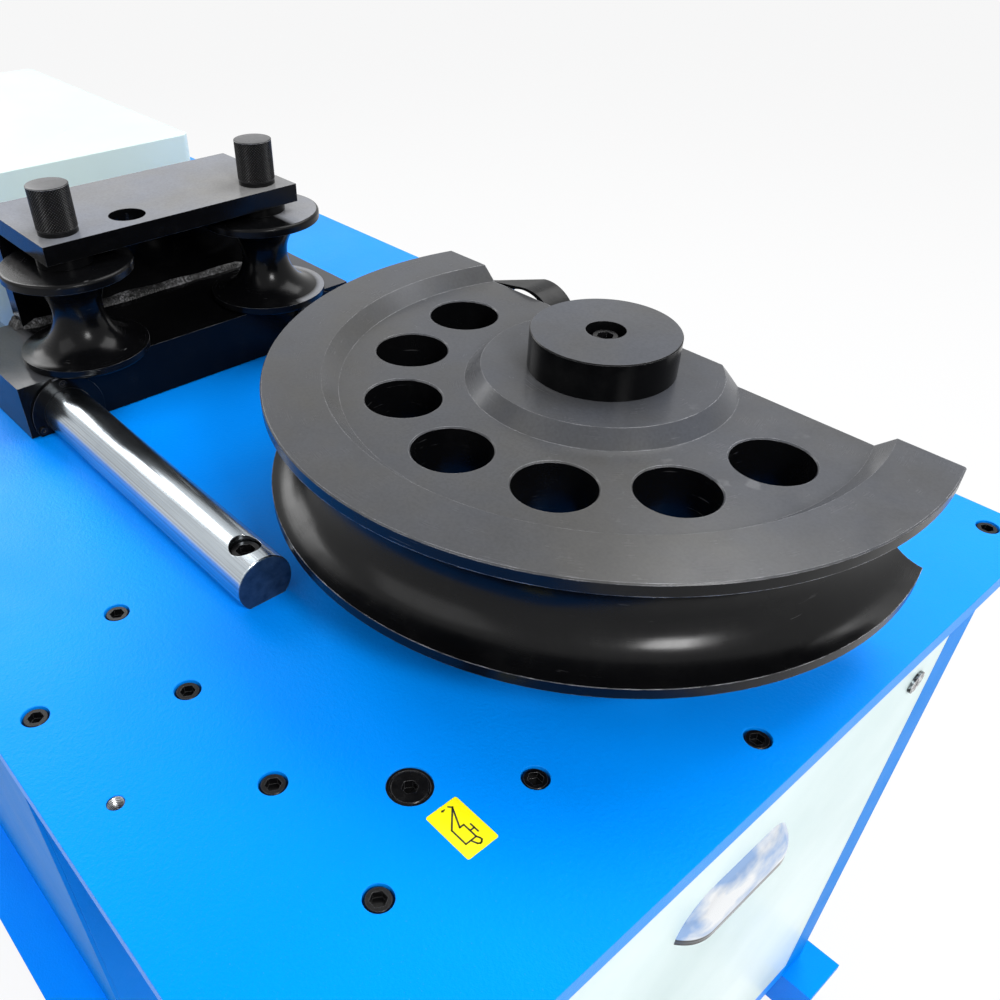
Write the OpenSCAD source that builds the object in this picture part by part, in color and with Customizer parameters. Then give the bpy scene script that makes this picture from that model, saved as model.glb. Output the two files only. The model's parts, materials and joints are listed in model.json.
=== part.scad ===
/* [Table] */
// Length of the table top
table_l = 1500; // [1480:10:1700]
// Width of the table top
table_w = 786; // [780:2:900]
// Thickness of the table plate
table_t = 18; // [14:1:25]
// Height of the table top above the floor
table_h = 670; // [640:10:760]

/* [Tube] */
// Outside diameter of the tube that is bent
tube_d = 76.1; // [70:0.1:78]
// Radius of the bend at the tube's centre line
bend_r = 266; // [255:1:270]

/* [Former] */
// Place of the former's axis along the table
former_x = 470; // [465:1:475]
// Place of the former's axis across the table
former_y = 100; // [95:1:105]
// Height of the grooved former
former_h = 96; // [92:1:100]
// Gap between the table and the former
former_gap = 56; // [54:1:60]
// Distance from the axis to the flat side of the former
flat_offset = 72; // [68:1:76]
// Depth of the dished web below the rim
web_depth = 12; // [8:1:16]
// Radius of the hub at its top
hub_r = 95; // [90:1:98]
// Diameter of the lightening holes
light_hole_d = 60; // [50:1:64]
// Number of lightening holes round the half circle
light_holes = 7; // [3:1:7]
// Radius of the circle that the lightening holes stand on
light_hole_pitch_r = 158; // [155:1:160]
// Radius of the clamping cap on the former
cap_r = 58.5; // [54:0.5:62]
// Height of the clamping cap
cap_h = 29.5; // [26:0.5:34]

/* [Spindle drive] */
// Diameter of the spindle
spindle_d = 80; // [76:1:84]
// Module of the pinion and the rack
gear_m = 6; // [6:1:6]
// Number of teeth on the pinion
pinion_teeth = 22; // [22:1:22]
// Width of the teeth
gear_w = 80; // [70:1:90]
// Largest bend angle that the rack can turn the former through
bend_angle = 190; // [180:1:190]
// Bore of the drive cylinder
drive_bore = 100; // [90:1:104]

/* [Carriage] */
// Place of the carriage's centre line across the table
carriage_y = -13; // [-16:1:-10]
// Place of the carriage's front face along the table at rest
carriage_x = 18.5; // [16:0.5:20]
// Length of the carriage block along its travel
block_l = 146; // [140:1:150]
// Width of the carriage block
block_w = 398; // [390:1:410]
// Height of the carriage block's top above the table
block_h = 56; // [54:1:60]
// Width of the top plate
plate_w = 280; // [276:1:290]
// Thickness of the top plate
plate_t = 18; // [14:1:22]
// Thickness of the upright web plate
web_t = 20; // [16:1:24]
// Travel of the carriage towards the former
carriage_travel = 150; // [120:1:150]

/* [Rollers] */
// Radius of the roller flanges
roller_r = 63.2; // [62:0.1:64]
// Height of a roller
roller_h = 94; // [92:0.5:95]
// Distance between the two roller axes
roller_pitch = 222; // [216:1:226]
// Distance of the roller axes behind the block's front face
roller_back = 30.5; // [28:0.5:34]
// Diameter of the lift-out pins
pin_d = 36; // [32:0.5:37]
// Diameter of the knurled pin heads
pin_head_d = 39; // [38:0.5:44]
// Height of the knurled pin heads
pin_head_h = 44; // [36:1:50]

/* [Guide rods] */
// Diameter of the guide rods
rod_d = 50; // [46:1:52]
// Length of the guide rods
rod_l = 600; // [590:1:610]
// Height of the rod axis above the table
rod_axis_h = 17.5; // [16:0.5:19]
// Distance between the two rod axes
rod_pitch = 313; // [311:1:316]

/* [Push cylinder and cover] */
// Length of the sheet metal cover
cover_l = 477; // [460:1:490]
// Width of the sheet metal cover
cover_w = 316; // [290:1:320]
// Height of the sheet metal cover
cover_h = 175; // [165:1:190]
// Bore of the push cylinder
push_bore = 80; // [70:1:84]
// Height of the push cylinder's axis above the table
push_axis_h = 95; // [88:1:100]

/* [Cabinet] */
// Length of the wide rear cabinet
rear_cab_l = 1029; // [1000:1:1040]
// Width of the wide rear cabinet
rear_cab_w = 764; // [750:2:776]
// Width of the narrow front cabinet
front_cab_w = 586; // [576:2:600]
// Width of the square posts and rails
post_w = 45; // [40:1:50]
// Wall of the sheet metal panels
sheet_t = 4; // [3:0.5:5]
// Height of the cabinet floor above the ground
cab_z = 60; // [50:1:70]
// Reach of the skids beyond the cabinet's sides
skid_reach = 56; // [50:1:60]

/* [Door] */
// Thickness of the folded door
door_t = 18; // [16:1:22]
// Length of the shell pull handle
handle_l = 138; // [120:1:170]
// Height of the shell pull handle
handle_h = 36; // [30:1:44]
// Reach of the shell pull handle out of the door
handle_out = 13; // [12:1:20]
// Diameter of the door lock
lock_d = 21; // [20:1:28]

/* [Hidden] */
$fn = 64;

// Clearances and overrun
run_clear = 0.05;
seat_clear = 0.02;
body_clear = 0.3;
cut = 1;

// Socket screws in the table
head_bevel = 1;
m12_head_r = 9;
m12_head_h = 12;
m12_bore_r = 10;
m12_bore_depth = 13;
m12_shank_r = 6;
m12_hex = 10;
m12_hex_depth = 6;
m12_l = 5;
screw_pitch = 110;
screw_row_x = 311;
screw_row_y = -268;
screw_edge_inset = 35;
single_screw_shares = [[0.249, -0.46], [0.427, -0.172], [0.478, 0.005], [0.4745, 0.463]];
tap_hole_r = 6;
tap_share = [0.3185, -0.449];
plug_share = [0.3943, -0.257];
plug_flange_r = 13.5;
plug_flange_h = 3;
plug_recess_r = 16;
plug_recess_depth = 4;
plug_shank_r = 11;
plug_hex = 10;
plug_hex_depth = 7;

// Heights and places that several pieces share
under_table = table_h - table_t;
tube_z = table_h + former_gap + former_h / 2;
groove_clear = 0.25;
groove_r = tube_d / 2 + groove_clear;
former_z = table_h + former_gap;
front_inset = 4;
rail_gap = 2;
house_flange_r = 110;
front_x = table_l / 2 - front_inset;
step_x = former_x - house_flange_r - rail_gap - post_w;
rear_x = step_x - rear_cab_l;
pan_top = cab_z + sheet_t;

// Former
rim_land = 46.6;
rim_bevel = 1;
recess_slope = 12.7;
hub_slope = 12;
light_hole_step = 180 / (light_holes - 1);
light_hole_bevel = 1;
hook_rest = 155;
lug_x = -(bend_r + hook_rest) / 2;
hook_ring_x = -hook_rest - lug_x;
lug_r = 9;
lug_out = 18;
lug_low = 12.3;
lug_top = 20;
lug_root = 12;
hook_pin_r = 6;
hook_pin_head_r = 8;
hook_pin_head_h = 4;
hook_wall = 2.8;
hook_nose = 3;
hook_w = 29.5;
hook_gap = 2;
hook_left = 9.9;
hook_slope = 8.9;
hook_cut = 44;
hook_cut_end = 3.5;
eye_r = 11;
eye_h = 24;

// Spindle
spindle_r = spindle_d / 2;
collar_r = 80;
collar_t = 5;
collar_gap = 1;
pinion_drop = 197;
spindle_tail = 25;
key_w = 22;
key_h = 14;
key_sunk = 8;
former_key_l = 60;
key_end = 10;
spindle_short = 2;
pinion_key_l = 60;
pinion_z = under_table - pinion_drop;
spindle_low = pinion_z - spindle_tail;
pinion_r = gear_m * pinion_teeth / 2;
pressure_angle = 20;
backlash = 0.3;
mesh_clear = 0.1;
dedendum_share = 1.25;
nut_r = 55;
nut_h = 20;
nut_slot_w = 12;
nut_slot_depth = 7;
nut_slots = 4;
cap_bevel = 0.8;
cap_bore_r = 15.7;
cap_bore_depth = 18.5;
m14_head_r = 10.5;
m14_head_h = 14;
m14_shank_r = 7;
m14_hex = 12;
m14_hex_depth = 7;
m14_l = 45;

// Bearing housing
house_r = 85;
house_rise = 50;
house_drop = 92;
house_top = table_h + house_rise;
house_low = under_table - house_drop;
house_flange_t = 20;
house_bolts = 8;
house_ledge = 6;
house_bolt_r = 7;
house_bolt_pitch_r = 97;
house_bolt_hex = 21;
house_bolt_head_h = 9;
bearing_r = 60;
bearing_w = 30;
bearing_race_t = 8;
house_bore_r = bearing_r + seat_clear;

// Rack and drive cylinder
rack_margin = 30;
rack_stroke = pinion_r * bend_angle * PI / 180;
rack_right = rack_margin;
rack_left = -rack_stroke - rack_margin;
rack_body_w = 46;
rack_pitch = gear_m * PI;
drive_rod_r = 28;
drive_wall = 12;
drive_piston_w = 40;
drive_head_t = 30;
drive_head_w = 140;
drive_head_over = 8;
drive_back_t = 20;
drive_spare = 20;
drive_end_gap = 5;
rack_head_gap = 12;
drive_y = former_y + pinion_r + gear_m * dedendum_share + rack_body_w / 2;
drive_z = pinion_z + gear_w / 2;
drive_head_x = former_x + rack_left - drive_head_t - rack_head_gap;
guide_t = 28;
guide_l = 90;
guide_ahead = 20;

// Carriage
block_low = 1;
roller_x = carriage_x - roller_back;
roller_z = tube_z - roller_h / 2;
plate_rise = 161;
plate_z = table_h + plate_rise;
spare_hole_off = -40;
pin_depth = 18;
roller_lip = 3;
spacer_r = 27;
lower_washer_r = 30;
pin_foot_h = 4;
pin_foot_r = 19;
pin_crown_h = 1.5;
rod_y = [carriage_y - rod_pitch / 2, carriage_y + rod_pitch / 2];
rod_front_x = 377;
rod_z = table_h + rod_axis_h;
bush_t = 5;
bush_l = 45;
ring_r = 37.5;
ring_t = 3;
ring_screw_pitch_r = 32;
ring_screw_r = 3.6;
ring_screw_h = 2.4;
ring_screw_angles = [90, 198, -18];
ring_hex = 3.2;
rod_screw_inset = 25;
rod_bevel = 1;
m16_head_r = 12;
m16_head_h = 16;
m16_bore_r = 13;
m16_bore_depth = 22;
m16_shank_r = 8;
m16_hex = 14;
m16_hex_depth = 8;

// Push cylinder and its cover
cover_front_x = -236;
cover_wall = 2;
cover_corner_r = 10;
cover_lip = 12;
push_wall = 10;
push_rod_r = 22.5;
push_piston_w = 35;
push_flange_r = 40;
push_flange_t = 12;
push_mount_t = 25;
push_mount_w = 130;
push_mount_over = 8;
push_len = 320;
push_head_t = 22;
push_cover_gap = 12;
push_end_gap = 6;
push_plug_in = 2;
push_z = table_h + push_axis_h;
cover_hole_r = 34;

// Cabinet, skids and feet
tube_wall = 3;
head_rail_h = 20;
skid_t = 10;
skid_over = 69;
skid_leg_t = 8;
anchor_r = 7;
anchor_inset = 40;
foot_l = 66;
foot_w = 65;
foot_reach_y = 25;
foot_reach_x = 39;
foot_leg_t = 8;
louvre_w = 200;
louvre_h = 8;
louvre_pitch = 24;
louvres = 8;
louvre_hood = 6;

// Door
door_gap = 1;
door_low = 92;
door_w = front_cab_w - 2 * post_w - 2 * door_gap;
door_head_gap = 4;
door_skin = 2;
handle_wall = 2;
handle_corner = 28;
handle_end_r = 32;
handle_y = -27.5;
handle_drop = 62;
handle_z = under_table - handle_drop - handle_h;
lock_side = 42;
lock_drop = 42;
lock_y = front_cab_w / 2 - post_w - lock_side;
lock_z = under_table - lock_drop;
lock_cap_t = 2.4;
lock_body_r = 9;
lock_tongue_w = 14;
lock_tongue_l = 40;
lock_tongue_t = 3;
lock_slot_w = 2;
lock_slot_l = 8;
strike_t = 4;
strike_in = 2;
tongue_gap = 1;
strike_reach = 12;
strike_h = 40;
hinge_pin_r = 3;
knuckle_r = 6;
knuckle_l = 30;
hinge_inset = 100;

// Power unit
tank_back = 374;
tank_side = 58;
tank_x = front_x - tank_back;
tank_y = -front_cab_w / 2 + tank_side;
tank_l = 300;
tank_w = 330;
tank_h = 220;
tank_wall = 4;
lid_t = 8;
lid_over = 8;
motor_ahead = 230;
motor_side = 105;
motor_x = tank_x + motor_ahead;
motor_y = tank_y + motor_side;
motor_r = 68;
motor_h = 210;
motor_fins = 28;
motor_fin_t = 3;
motor_fin_h = 7;
motor_fin_short = 0.5;
motor_flange_r = 80;
motor_flange_t = 14;
motor_fan_h = 30;
motor_box_l = 70;
motor_box_w = 36;
motor_box_h = 80;
pump_r = 45;
pump_h = 110;
pump_pipe_r = 12;
pump_pipe_h = 60;
valve_ahead = 64;
valve_side = 95;
valve_x = tank_x + valve_ahead;
valve_y = tank_y + valve_side;
valve_l = 90;
valve_w = 130;
valve_h = 80;
coil_r = 20;
coil_l = 36;
coil_gap = 60;

// Socket head screw along Z, its seat at zero and its head above
module socket_screw(head_r, head_h, shank_r, shank_l, hex, hex_depth) {
  difference() {
    union() {
      cylinder(r = head_r, h = head_h - head_bevel);
      translate([0, 0, head_h - head_bevel])
        cylinder(r1 = head_r, r2 = head_r - head_bevel, h = head_bevel);
      translate([0, 0, -shank_l]) cylinder(r = shank_r, h = shank_l + seat_clear);
    }
    translate([0, 0, head_h - hex_depth]) cylinder(d = hex / cos(30), h = hex_depth + cut, $fn = 6);
  }
}

// Rectangle with round corners, centred
module round_rect(l, w, r) {
  square([l - 2 * r, w], center = true);
  square([l, w - 2 * r], center = true);
  for (sx = [-1, 1], sy = [-1, 1]) translate([sx * (l / 2 - r), sy * (w / 2 - r)]) circle(r = r);
}

// Places of the table screws
function row_screws() = [for (i = [0:3]) [screw_row_x + i * screw_pitch, screw_row_y]];
function lone_screws() = [for (s = single_screw_shares) [s[0] * table_l, s[1] * table_w]];
function all_screws() = concat(row_screws(), lone_screws());

module table_plate() {
  color([0, 0.45, 0.9]) translate([0, 0, under_table]) difference() {
    translate([-table_l / 2, -table_w / 2, 0]) cube([table_l, table_w, table_t]);
    for (p = all_screws()) translate([p[0], p[1], 0]) {
      translate([0, 0, table_t - m12_bore_depth]) cylinder(r = m12_bore_r, h = m12_bore_depth + cut);
      translate([0, 0, -cut]) cylinder(r = m12_shank_r + seat_clear, h = table_t + cut);
    }
    translate([plug_share[0] * table_l, plug_share[1] * table_w, 0]) {
      translate([0, 0, table_t - plug_recess_depth]) cylinder(r = plug_recess_r, h = plug_recess_depth + cut);
      translate([0, 0, -cut]) cylinder(r = plug_shank_r + seat_clear, h = table_t + cut);
    }
    translate([tap_share[0] * table_l, tap_share[1] * table_w, -cut])
      cylinder(r = tap_hole_r, h = table_t + 2 * cut);
    translate([former_x, former_y, -cut]) cylinder(r = house_r + seat_clear, h = table_t + 2 * cut);
    for (y = rod_y, x = rod_screw_xs())
      translate([x, y, -cut]) cylinder(r = m16_shank_r + seat_clear, h = table_t + 2 * cut);
  }
}

module table_screws() {
  color([0.12, 0.12, 0.13]) for (p = all_screws())
    translate([p[0], p[1], table_h - m12_bore_depth])
      socket_screw(m12_head_r, m12_head_h, m12_shank_r, m12_l, m12_hex, m12_hex_depth);
}

module oil_plug() {
  color([0.1, 0.1, 0.11])
    translate([plug_share[0] * table_l, plug_share[1] * table_w, table_h - plug_recess_depth])
      socket_screw(plug_flange_r, plug_flange_h, plug_shank_r, table_t - plug_recess_depth, plug_hex,
        plug_hex_depth);
}

// Square tube standing along Z
module square_tube(w, l) {
  difference() {
    translate([-w / 2, -w / 2, 0]) cube([w, w, l]);
    translate([-w / 2 + tube_wall, -w / 2 + tube_wall, -cut])
      cube([w - 2 * tube_wall, w - 2 * tube_wall, l + 2 * cut]);
  }
}

function post_xs() = [step_x + post_w / 2, front_x - post_w / 2];
post_y = front_cab_w / 2 - post_w / 2;

module cabinet_posts() {
  color([0, 0.42, 0.85]) for (x = post_xs(), sy = [-1, 1])
    translate([x, sy * post_y, pan_top]) square_tube(post_w, under_table - pan_top);
}

module cabinet_rails() {
  side_l = front_x - step_x - 2 * post_w;
  end_l = front_cab_w - 2 * post_w;
  low_h = door_low - door_gap - pan_top;
  color([0, 0.42, 0.85]) {
    for (sy = [-1, 1]) translate([step_x + post_w, sy * post_y, under_table - post_w / 2])
      rotate([0, 90, 0]) square_tube(post_w, side_l);
    translate([step_x + post_w / 2, -end_l / 2, under_table - post_w / 2])
      rotate([-90, 0, 0]) square_tube(post_w, end_l);
    translate([front_x - post_w, -end_l / 2, pan_top]) cube([post_w, end_l, low_h]);
    translate([front_x - post_w, -end_l / 2, under_table - head_rail_h])
      cube([post_w - door_t - door_gap, end_l, head_rail_h]);
  }
}

module front_side_panels() {
  l = front_x - step_x - 2 * post_w;
  color([0, 0.4, 0.82]) for (sy = [-1, 1])
    translate([step_x + post_w, sy * (front_cab_w / 2 - sheet_t / 2) - sheet_t / 2, pan_top])
      cube([l, sheet_t, under_table - post_w - pan_top]);
}

module rear_side_panels() {
  color([0, 0.4, 0.82]) for (sy = [-1, 1])
    translate([rear_x, sy * (rear_cab_w / 2 - sheet_t / 2) - sheet_t / 2, pan_top])
      cube([rear_cab_l, sheet_t, under_table - pan_top]);
}

module rear_end_panel() {
  w = rear_cab_w - 2 * sheet_t;
  first_z = table_h / 2;
  color([0, 0.4, 0.82]) translate([rear_x, 0, 0]) difference() {
    union() {
      translate([0, -w / 2, pan_top]) cube([sheet_t, w, under_table - pan_top]);
      for (i = [0:louvres - 1]) translate([0, -louvre_w / 2, first_z + i * louvre_pitch])
        rotate([-90, 0, 0]) linear_extrude(louvre_w)
          polygon([[0, 0], [-louvre_hood, louvre_h], [-louvre_hood, louvre_h + sheet_t / 2],
            [0, louvre_h + sheet_t / 2]]);
    }
    for (i = [0:louvres - 1])
      translate([-cut, -louvre_w / 2 + louvre_h, first_z - louvre_h + i * louvre_pitch])
        cube([sheet_t + 2 * cut, louvre_w - 2 * louvre_h, louvre_h / 2]);
  }
}

module step_panels() {
  w = (rear_cab_w - front_cab_w) / 2 - sheet_t;
  color([0, 0.4, 0.82]) for (sy = [-1, 1])
    translate([step_x - sheet_t, sy * (front_cab_w / 2 + w / 2) - w / 2, pan_top])
      cube([sheet_t, w, under_table - pan_top]);
}

module floor_pan() {
  color([0, 0.38, 0.78]) translate([0, 0, cab_z]) {
    translate([rear_x, -rear_cab_w / 2, 0]) cube([rear_cab_l, rear_cab_w, sheet_t]);
    translate([step_x - sheet_t, -front_cab_w / 2, 0])
      cube([front_x - step_x + sheet_t, front_cab_w, sheet_t]);
  }
}

skid_l = rear_cab_l + skid_over;
skid_x = step_x - skid_l;
skid_w = skid_reach + skid_t;
anchor_y = rear_cab_w / 2 + skid_reach / 2;

module skid_angles() {
  color([0, 0.45, 0.9]) for (sy = [-1, 1]) translate([skid_x, 0, 0]) {
    mid_y = sy * (rear_cab_w / 2 + skid_reach - skid_w / 2);
    leg_y = sy * (rear_cab_w / 2 + skid_reach - skid_w + skid_leg_t / 2);
    difference() {
      union() {
        translate([0, mid_y - skid_w / 2, cab_z - skid_t]) cube([skid_l, skid_w, skid_t]);
        translate([0, leg_y - skid_leg_t / 2, 0]) cube([skid_l, skid_leg_t, cab_z - skid_t]);
      }
      for (x = [anchor_inset, skid_l - anchor_inset]) translate([x, sy * anchor_y, cab_z - skid_t - cut])
        cylinder(r = anchor_r, h = skid_t + 2 * cut);
    }
  }
}

module front_feet() {
  color([0, 0.45, 0.9]) for (sy = [-1, 1]) {
    mid_y = sy * (front_cab_w / 2 + foot_reach_y - foot_w / 2);
    leg_y = sy * (front_cab_w / 2 + foot_reach_y - foot_w + foot_leg_t / 2);
    translate([front_x + foot_reach_x - foot_l, mid_y - foot_w / 2, cab_z - skid_t])
      cube([foot_l, foot_w, skid_t]);
    translate([front_x + foot_reach_x - foot_l, leg_y - foot_leg_t / 2, 0])
      cube([foot_l, foot_leg_t, cab_z - skid_t]);
  }
}

module cylinder_cover() {
  mid_x = cover_front_x - cover_l / 2;
  color([0.9, 0.96, 0.94]) translate([mid_x, carriage_y, table_h]) difference() {
    linear_extrude(cover_h) round_rect(cover_l, cover_w, cover_corner_r);
    translate([0, 0, -cut]) linear_extrude(cover_h - cover_wall + cut)
      round_rect(cover_l - 2 * cover_wall, cover_w - 2 * cover_wall, cover_corner_r - cover_wall);
    translate([cover_l / 2 - cover_wall - cut, 0, push_axis_h]) rotate([0, 90, 0])
      cylinder(r = cover_hole_r, h = cover_wall + 2 * cut);
  }
}

push_r = push_bore / 2;
push_front_x = cover_front_x - push_cover_gap;

module push_cylinder() {
  color([0.2, 0.2, 0.22]) translate([push_front_x - push_len, carriage_y, push_z]) rotate([0, 90, 0])
    difference() {
      union() {
        cylinder(r = push_r + push_wall, h = push_len);
        translate([0, 0, -push_head_t]) cylinder(r = push_r + push_wall - push_plug_in, h = push_head_t);
      }
      cylinder(r = push_r, h = push_len - push_head_t);
      translate([0, 0, push_len - push_head_t - cut])
        cylinder(r = push_rod_r + run_clear, h = push_head_t + 2 * cut);
    }
}

module push_cylinder_mounts() {
  bore = push_r + push_wall + seat_clear;
  h = push_axis_h + push_r + push_wall + push_mount_over;
  xs = [push_front_x - 2 * push_mount_t, push_front_x - push_len + push_mount_t];
  color([0.15, 0.15, 0.16]) for (x = xs)
    translate([x, carriage_y, table_h]) difference() {
      translate([0, -push_mount_w / 2, 0]) cube([push_mount_t, push_mount_w, h]);
      translate([-cut, 0, push_axis_h]) rotate([0, 90, 0]) cylinder(r = bore, h = push_mount_t + 2 * cut);
    }
}

function rod_screw_xs() = [rod_front_x - rod_screw_inset, rod_front_x - rod_l + rod_screw_inset];

module guide_rods() {
  color([0.8, 0.82, 0.84]) for (y = rod_y) difference() {
    translate([rod_front_x - rod_l, y, rod_z]) rotate([0, 90, 0]) {
      cylinder(r1 = rod_d / 2 - rod_bevel, r2 = rod_d / 2, h = rod_bevel);
      translate([0, 0, rod_bevel]) cylinder(r = rod_d / 2, h = rod_l - 2 * rod_bevel);
      translate([0, 0, rod_l - rod_bevel]) cylinder(r1 = rod_d / 2, r2 = rod_d / 2 - rod_bevel, h = rod_bevel);
    }
    translate([rod_front_x - rod_l - cut, y - rod_d, table_h - rod_d])
      cube([rod_l + 2 * cut, 2 * rod_d, rod_d]);
    for (x = rod_screw_xs()) {
      translate([x, y, rod_z + rod_d / 2 - m16_bore_depth]) cylinder(r = m16_bore_r, h = rod_d);
      translate([x, y, table_h - cut]) cylinder(r = m16_shank_r + seat_clear, h = rod_d);
    }
  }
}

module rod_screws() {
  seat = rod_z + rod_d / 2 - m16_bore_depth;
  color([0.12, 0.12, 0.13]) for (y = rod_y, x = rod_screw_xs())
    translate([x, y, seat])
      socket_screw(m16_head_r, m16_head_h, m16_shank_r, seat - under_table, m16_hex, m16_hex_depth);
}

module bearing_housing() {
  color([0.25, 0.25, 0.27]) translate([former_x, former_y, 0]) difference() {
    union() {
      translate([0, 0, house_low]) cylinder(r = house_r, h = house_top - house_low);
      translate([0, 0, under_table - house_flange_t]) cylinder(r = house_flange_r, h = house_flange_t);
    }
    translate([0, 0, house_low - cut])
      cylinder(r = house_bore_r - house_ledge, h = house_top - house_low + 2 * cut);
    translate([0, 0, house_top - bearing_w]) cylinder(r = house_bore_r, h = bearing_w + cut);
    translate([0, 0, house_low - cut]) cylinder(r = house_bore_r, h = bearing_w + cut);
    for (i = [0:house_bolts - 1]) rotate([0, 0, i * 360 / house_bolts])
      translate([house_bolt_pitch_r, 0, under_table - house_flange_t - cut])
        cylinder(r = house_bolt_r, h = house_flange_t + 2 * cut);
  }
}

module housing_bolts() {
  low = under_table - house_flange_t;
  color([0.15, 0.15, 0.16]) translate([former_x, former_y, low]) for (i = [0:house_bolts - 1])
    rotate([0, 0, i * 360 / house_bolts]) translate([house_bolt_pitch_r, 0, -house_bolt_head_h]) {
      cylinder(d = house_bolt_hex / cos(30), h = house_bolt_head_h, $fn = 6);
      cylinder(r = house_bolt_r - seat_clear, h = house_bolt_head_h + house_flange_t);
    }
}

module spindle_bearings() {
  color([0.75, 0.76, 0.78]) translate([former_x, former_y, 0])
    for (z = [house_low, house_top - bearing_w]) translate([0, 0, z]) difference() {
      cylinder(r = bearing_r, h = bearing_w);
      translate([0, 0, -cut]) cylinder(r = spindle_r + run_clear, h = bearing_w + 2 * cut);
      translate([0, 0, bearing_w - bearing_race_t / 2]) difference() {
        cylinder(r = bearing_r - bearing_race_t, h = bearing_race_t);
        cylinder(r = spindle_r + bearing_race_t, h = bearing_race_t);
      }
    }
}

drive_r = drive_bore / 2;
drive_len = rack_stroke + drive_piston_w + drive_back_t + drive_spare;

module drive_cylinder() {
  color([0.2, 0.2, 0.22]) translate([drive_head_x - drive_len, drive_y, drive_z]) rotate([0, 90, 0])
    difference() {
      cylinder(r = drive_r + drive_wall, h = drive_len);
      translate([0, 0, drive_back_t]) cylinder(r = drive_r, h = drive_len);
    }
}

module drive_cylinder_head() {
  low = drive_r + drive_wall + drive_head_over;
  color([0.25, 0.25, 0.27]) difference() {
    translate([drive_head_x, drive_y - drive_head_w / 2, drive_z - low])
      cube([drive_head_t, drive_head_w, under_table - drive_z + low]);
    translate([drive_head_x - cut, drive_y, drive_z]) rotate([0, 90, 0])
      cylinder(r = drive_rod_r + run_clear, h = drive_head_t + 2 * cut);
  }
}

module rack_guide() {
  back_y = drive_y + rack_body_w / 2 + body_clear;
  color([0.3, 0.3, 0.32]) translate([former_x - guide_l / 2 + guide_ahead, back_y, pinion_z])
    cube([guide_l, guide_t, under_table - pinion_z]);
}

module oil_tank() {
  color([0, 0.4, 0.82]) translate([tank_x, tank_y, pan_top]) difference() {
    cube([tank_l, tank_w, tank_h]);
    translate([tank_wall, tank_wall, tank_wall])
      cube([tank_l - 2 * tank_wall, tank_w - 2 * tank_wall, tank_h]);
  }
}

lid_z = pan_top + tank_h;
lid_top = lid_z + lid_t;

module tank_lid() {
  color([0, 0.42, 0.85]) difference() {
    translate([tank_x - lid_over, tank_y - lid_over, lid_z])
      cube([tank_l + 2 * lid_over, tank_w + 2 * lid_over, lid_t]);
    translate([motor_x, motor_y, lid_z - cut]) cylinder(r = pump_r + seat_clear, h = lid_t + 2 * cut);
  }
}

module pump_motor() {
  color([0.35, 0.38, 0.42]) translate([motor_x, motor_y, lid_top]) {
    cylinder(r = motor_flange_r, h = motor_flange_t);
    cylinder(r = motor_r - motor_fin_h, h = motor_h + motor_fan_h / 2);
    for (i = [0:motor_fins - 1]) rotate([0, 0, (i + 0.5) * 360 / motor_fins])
      translate([motor_r - 2 * motor_fin_h, -motor_fin_t / 2, motor_flange_t / 2])
        cube([2 * motor_fin_h - motor_fin_short, motor_fin_t, motor_h - motor_flange_t / 2 + cut]);
    translate([-motor_box_l / 2, -motor_r - motor_box_w / 2, motor_h / 3])
      cube([motor_box_l, motor_box_w, motor_box_h]);
    translate([0, 0, motor_h]) cylinder(r = motor_r, h = motor_fan_h);
  }
}

module oil_pump() {
  color([0.5, 0.5, 0.52]) translate([motor_x, motor_y, 0]) {
    translate([0, 0, lid_top - pump_h]) cylinder(r = pump_r, h = pump_h);
    translate([0, 0, lid_top - pump_h - pump_pipe_h]) cylinder(r = pump_pipe_r, h = pump_pipe_h + cut);
  }
}

module valve_block() {
  color([0.55, 0.56, 0.58]) translate([valve_x, valve_y, lid_top]) {
    translate([-valve_l / 2, -valve_w / 2, 0]) cube([valve_l, valve_w, valve_h]);
    for (y = [-coil_gap / 2, coil_gap / 2]) translate([-valve_l / 2 - coil_l, y, valve_h / 2])
      rotate([0, 90, 0]) cylinder(r = coil_r, h = valve_l + 2 * coil_l);
  }
}

hinge_zs = [door_low + hinge_inset, under_table - hinge_inset - 2 * knuckle_l];
hinge_x = front_x + knuckle_r;
hinge_y = -front_cab_w / 2 + post_w + door_gap / 2;

module hinge_frame_halves() {
  color([0.3, 0.3, 0.32]) for (z = hinge_zs) {
    translate([hinge_x, hinge_y, z]) cylinder(r = knuckle_r, h = knuckle_l);
    translate([front_x, hinge_y - knuckle_r, z]) cube([knuckle_r, knuckle_r - door_gap / 2, knuckle_l]);
    translate([hinge_x, hinge_y, z]) cylinder(r = hinge_pin_r, h = 2 * knuckle_l - body_clear);
  }
}

module hinge_door_halves() {
  color([0.3, 0.3, 0.32]) for (z = hinge_zs) translate([0, 0, z + knuckle_l + body_clear]) difference() {
    union() {
      translate([hinge_x, hinge_y, 0]) cylinder(r = knuckle_r, h = knuckle_l);
      translate([front_x, hinge_y + door_gap / 2, 0]) cube([knuckle_r, knuckle_r - door_gap / 2, knuckle_l]);
    }
    translate([hinge_x, hinge_y, -cut])
      cylinder(r = hinge_pin_r + run_clear, h = knuckle_l - body_clear + cut);
  }
}

module lock_strike() {
  color([0.3, 0.3, 0.32])
    translate([front_x - door_t - door_gap - strike_t - strike_in, front_cab_w / 2 - post_w - strike_reach,
      lock_z - strike_h / 2])
      cube([strike_t, strike_reach, strike_h]);
}

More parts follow.
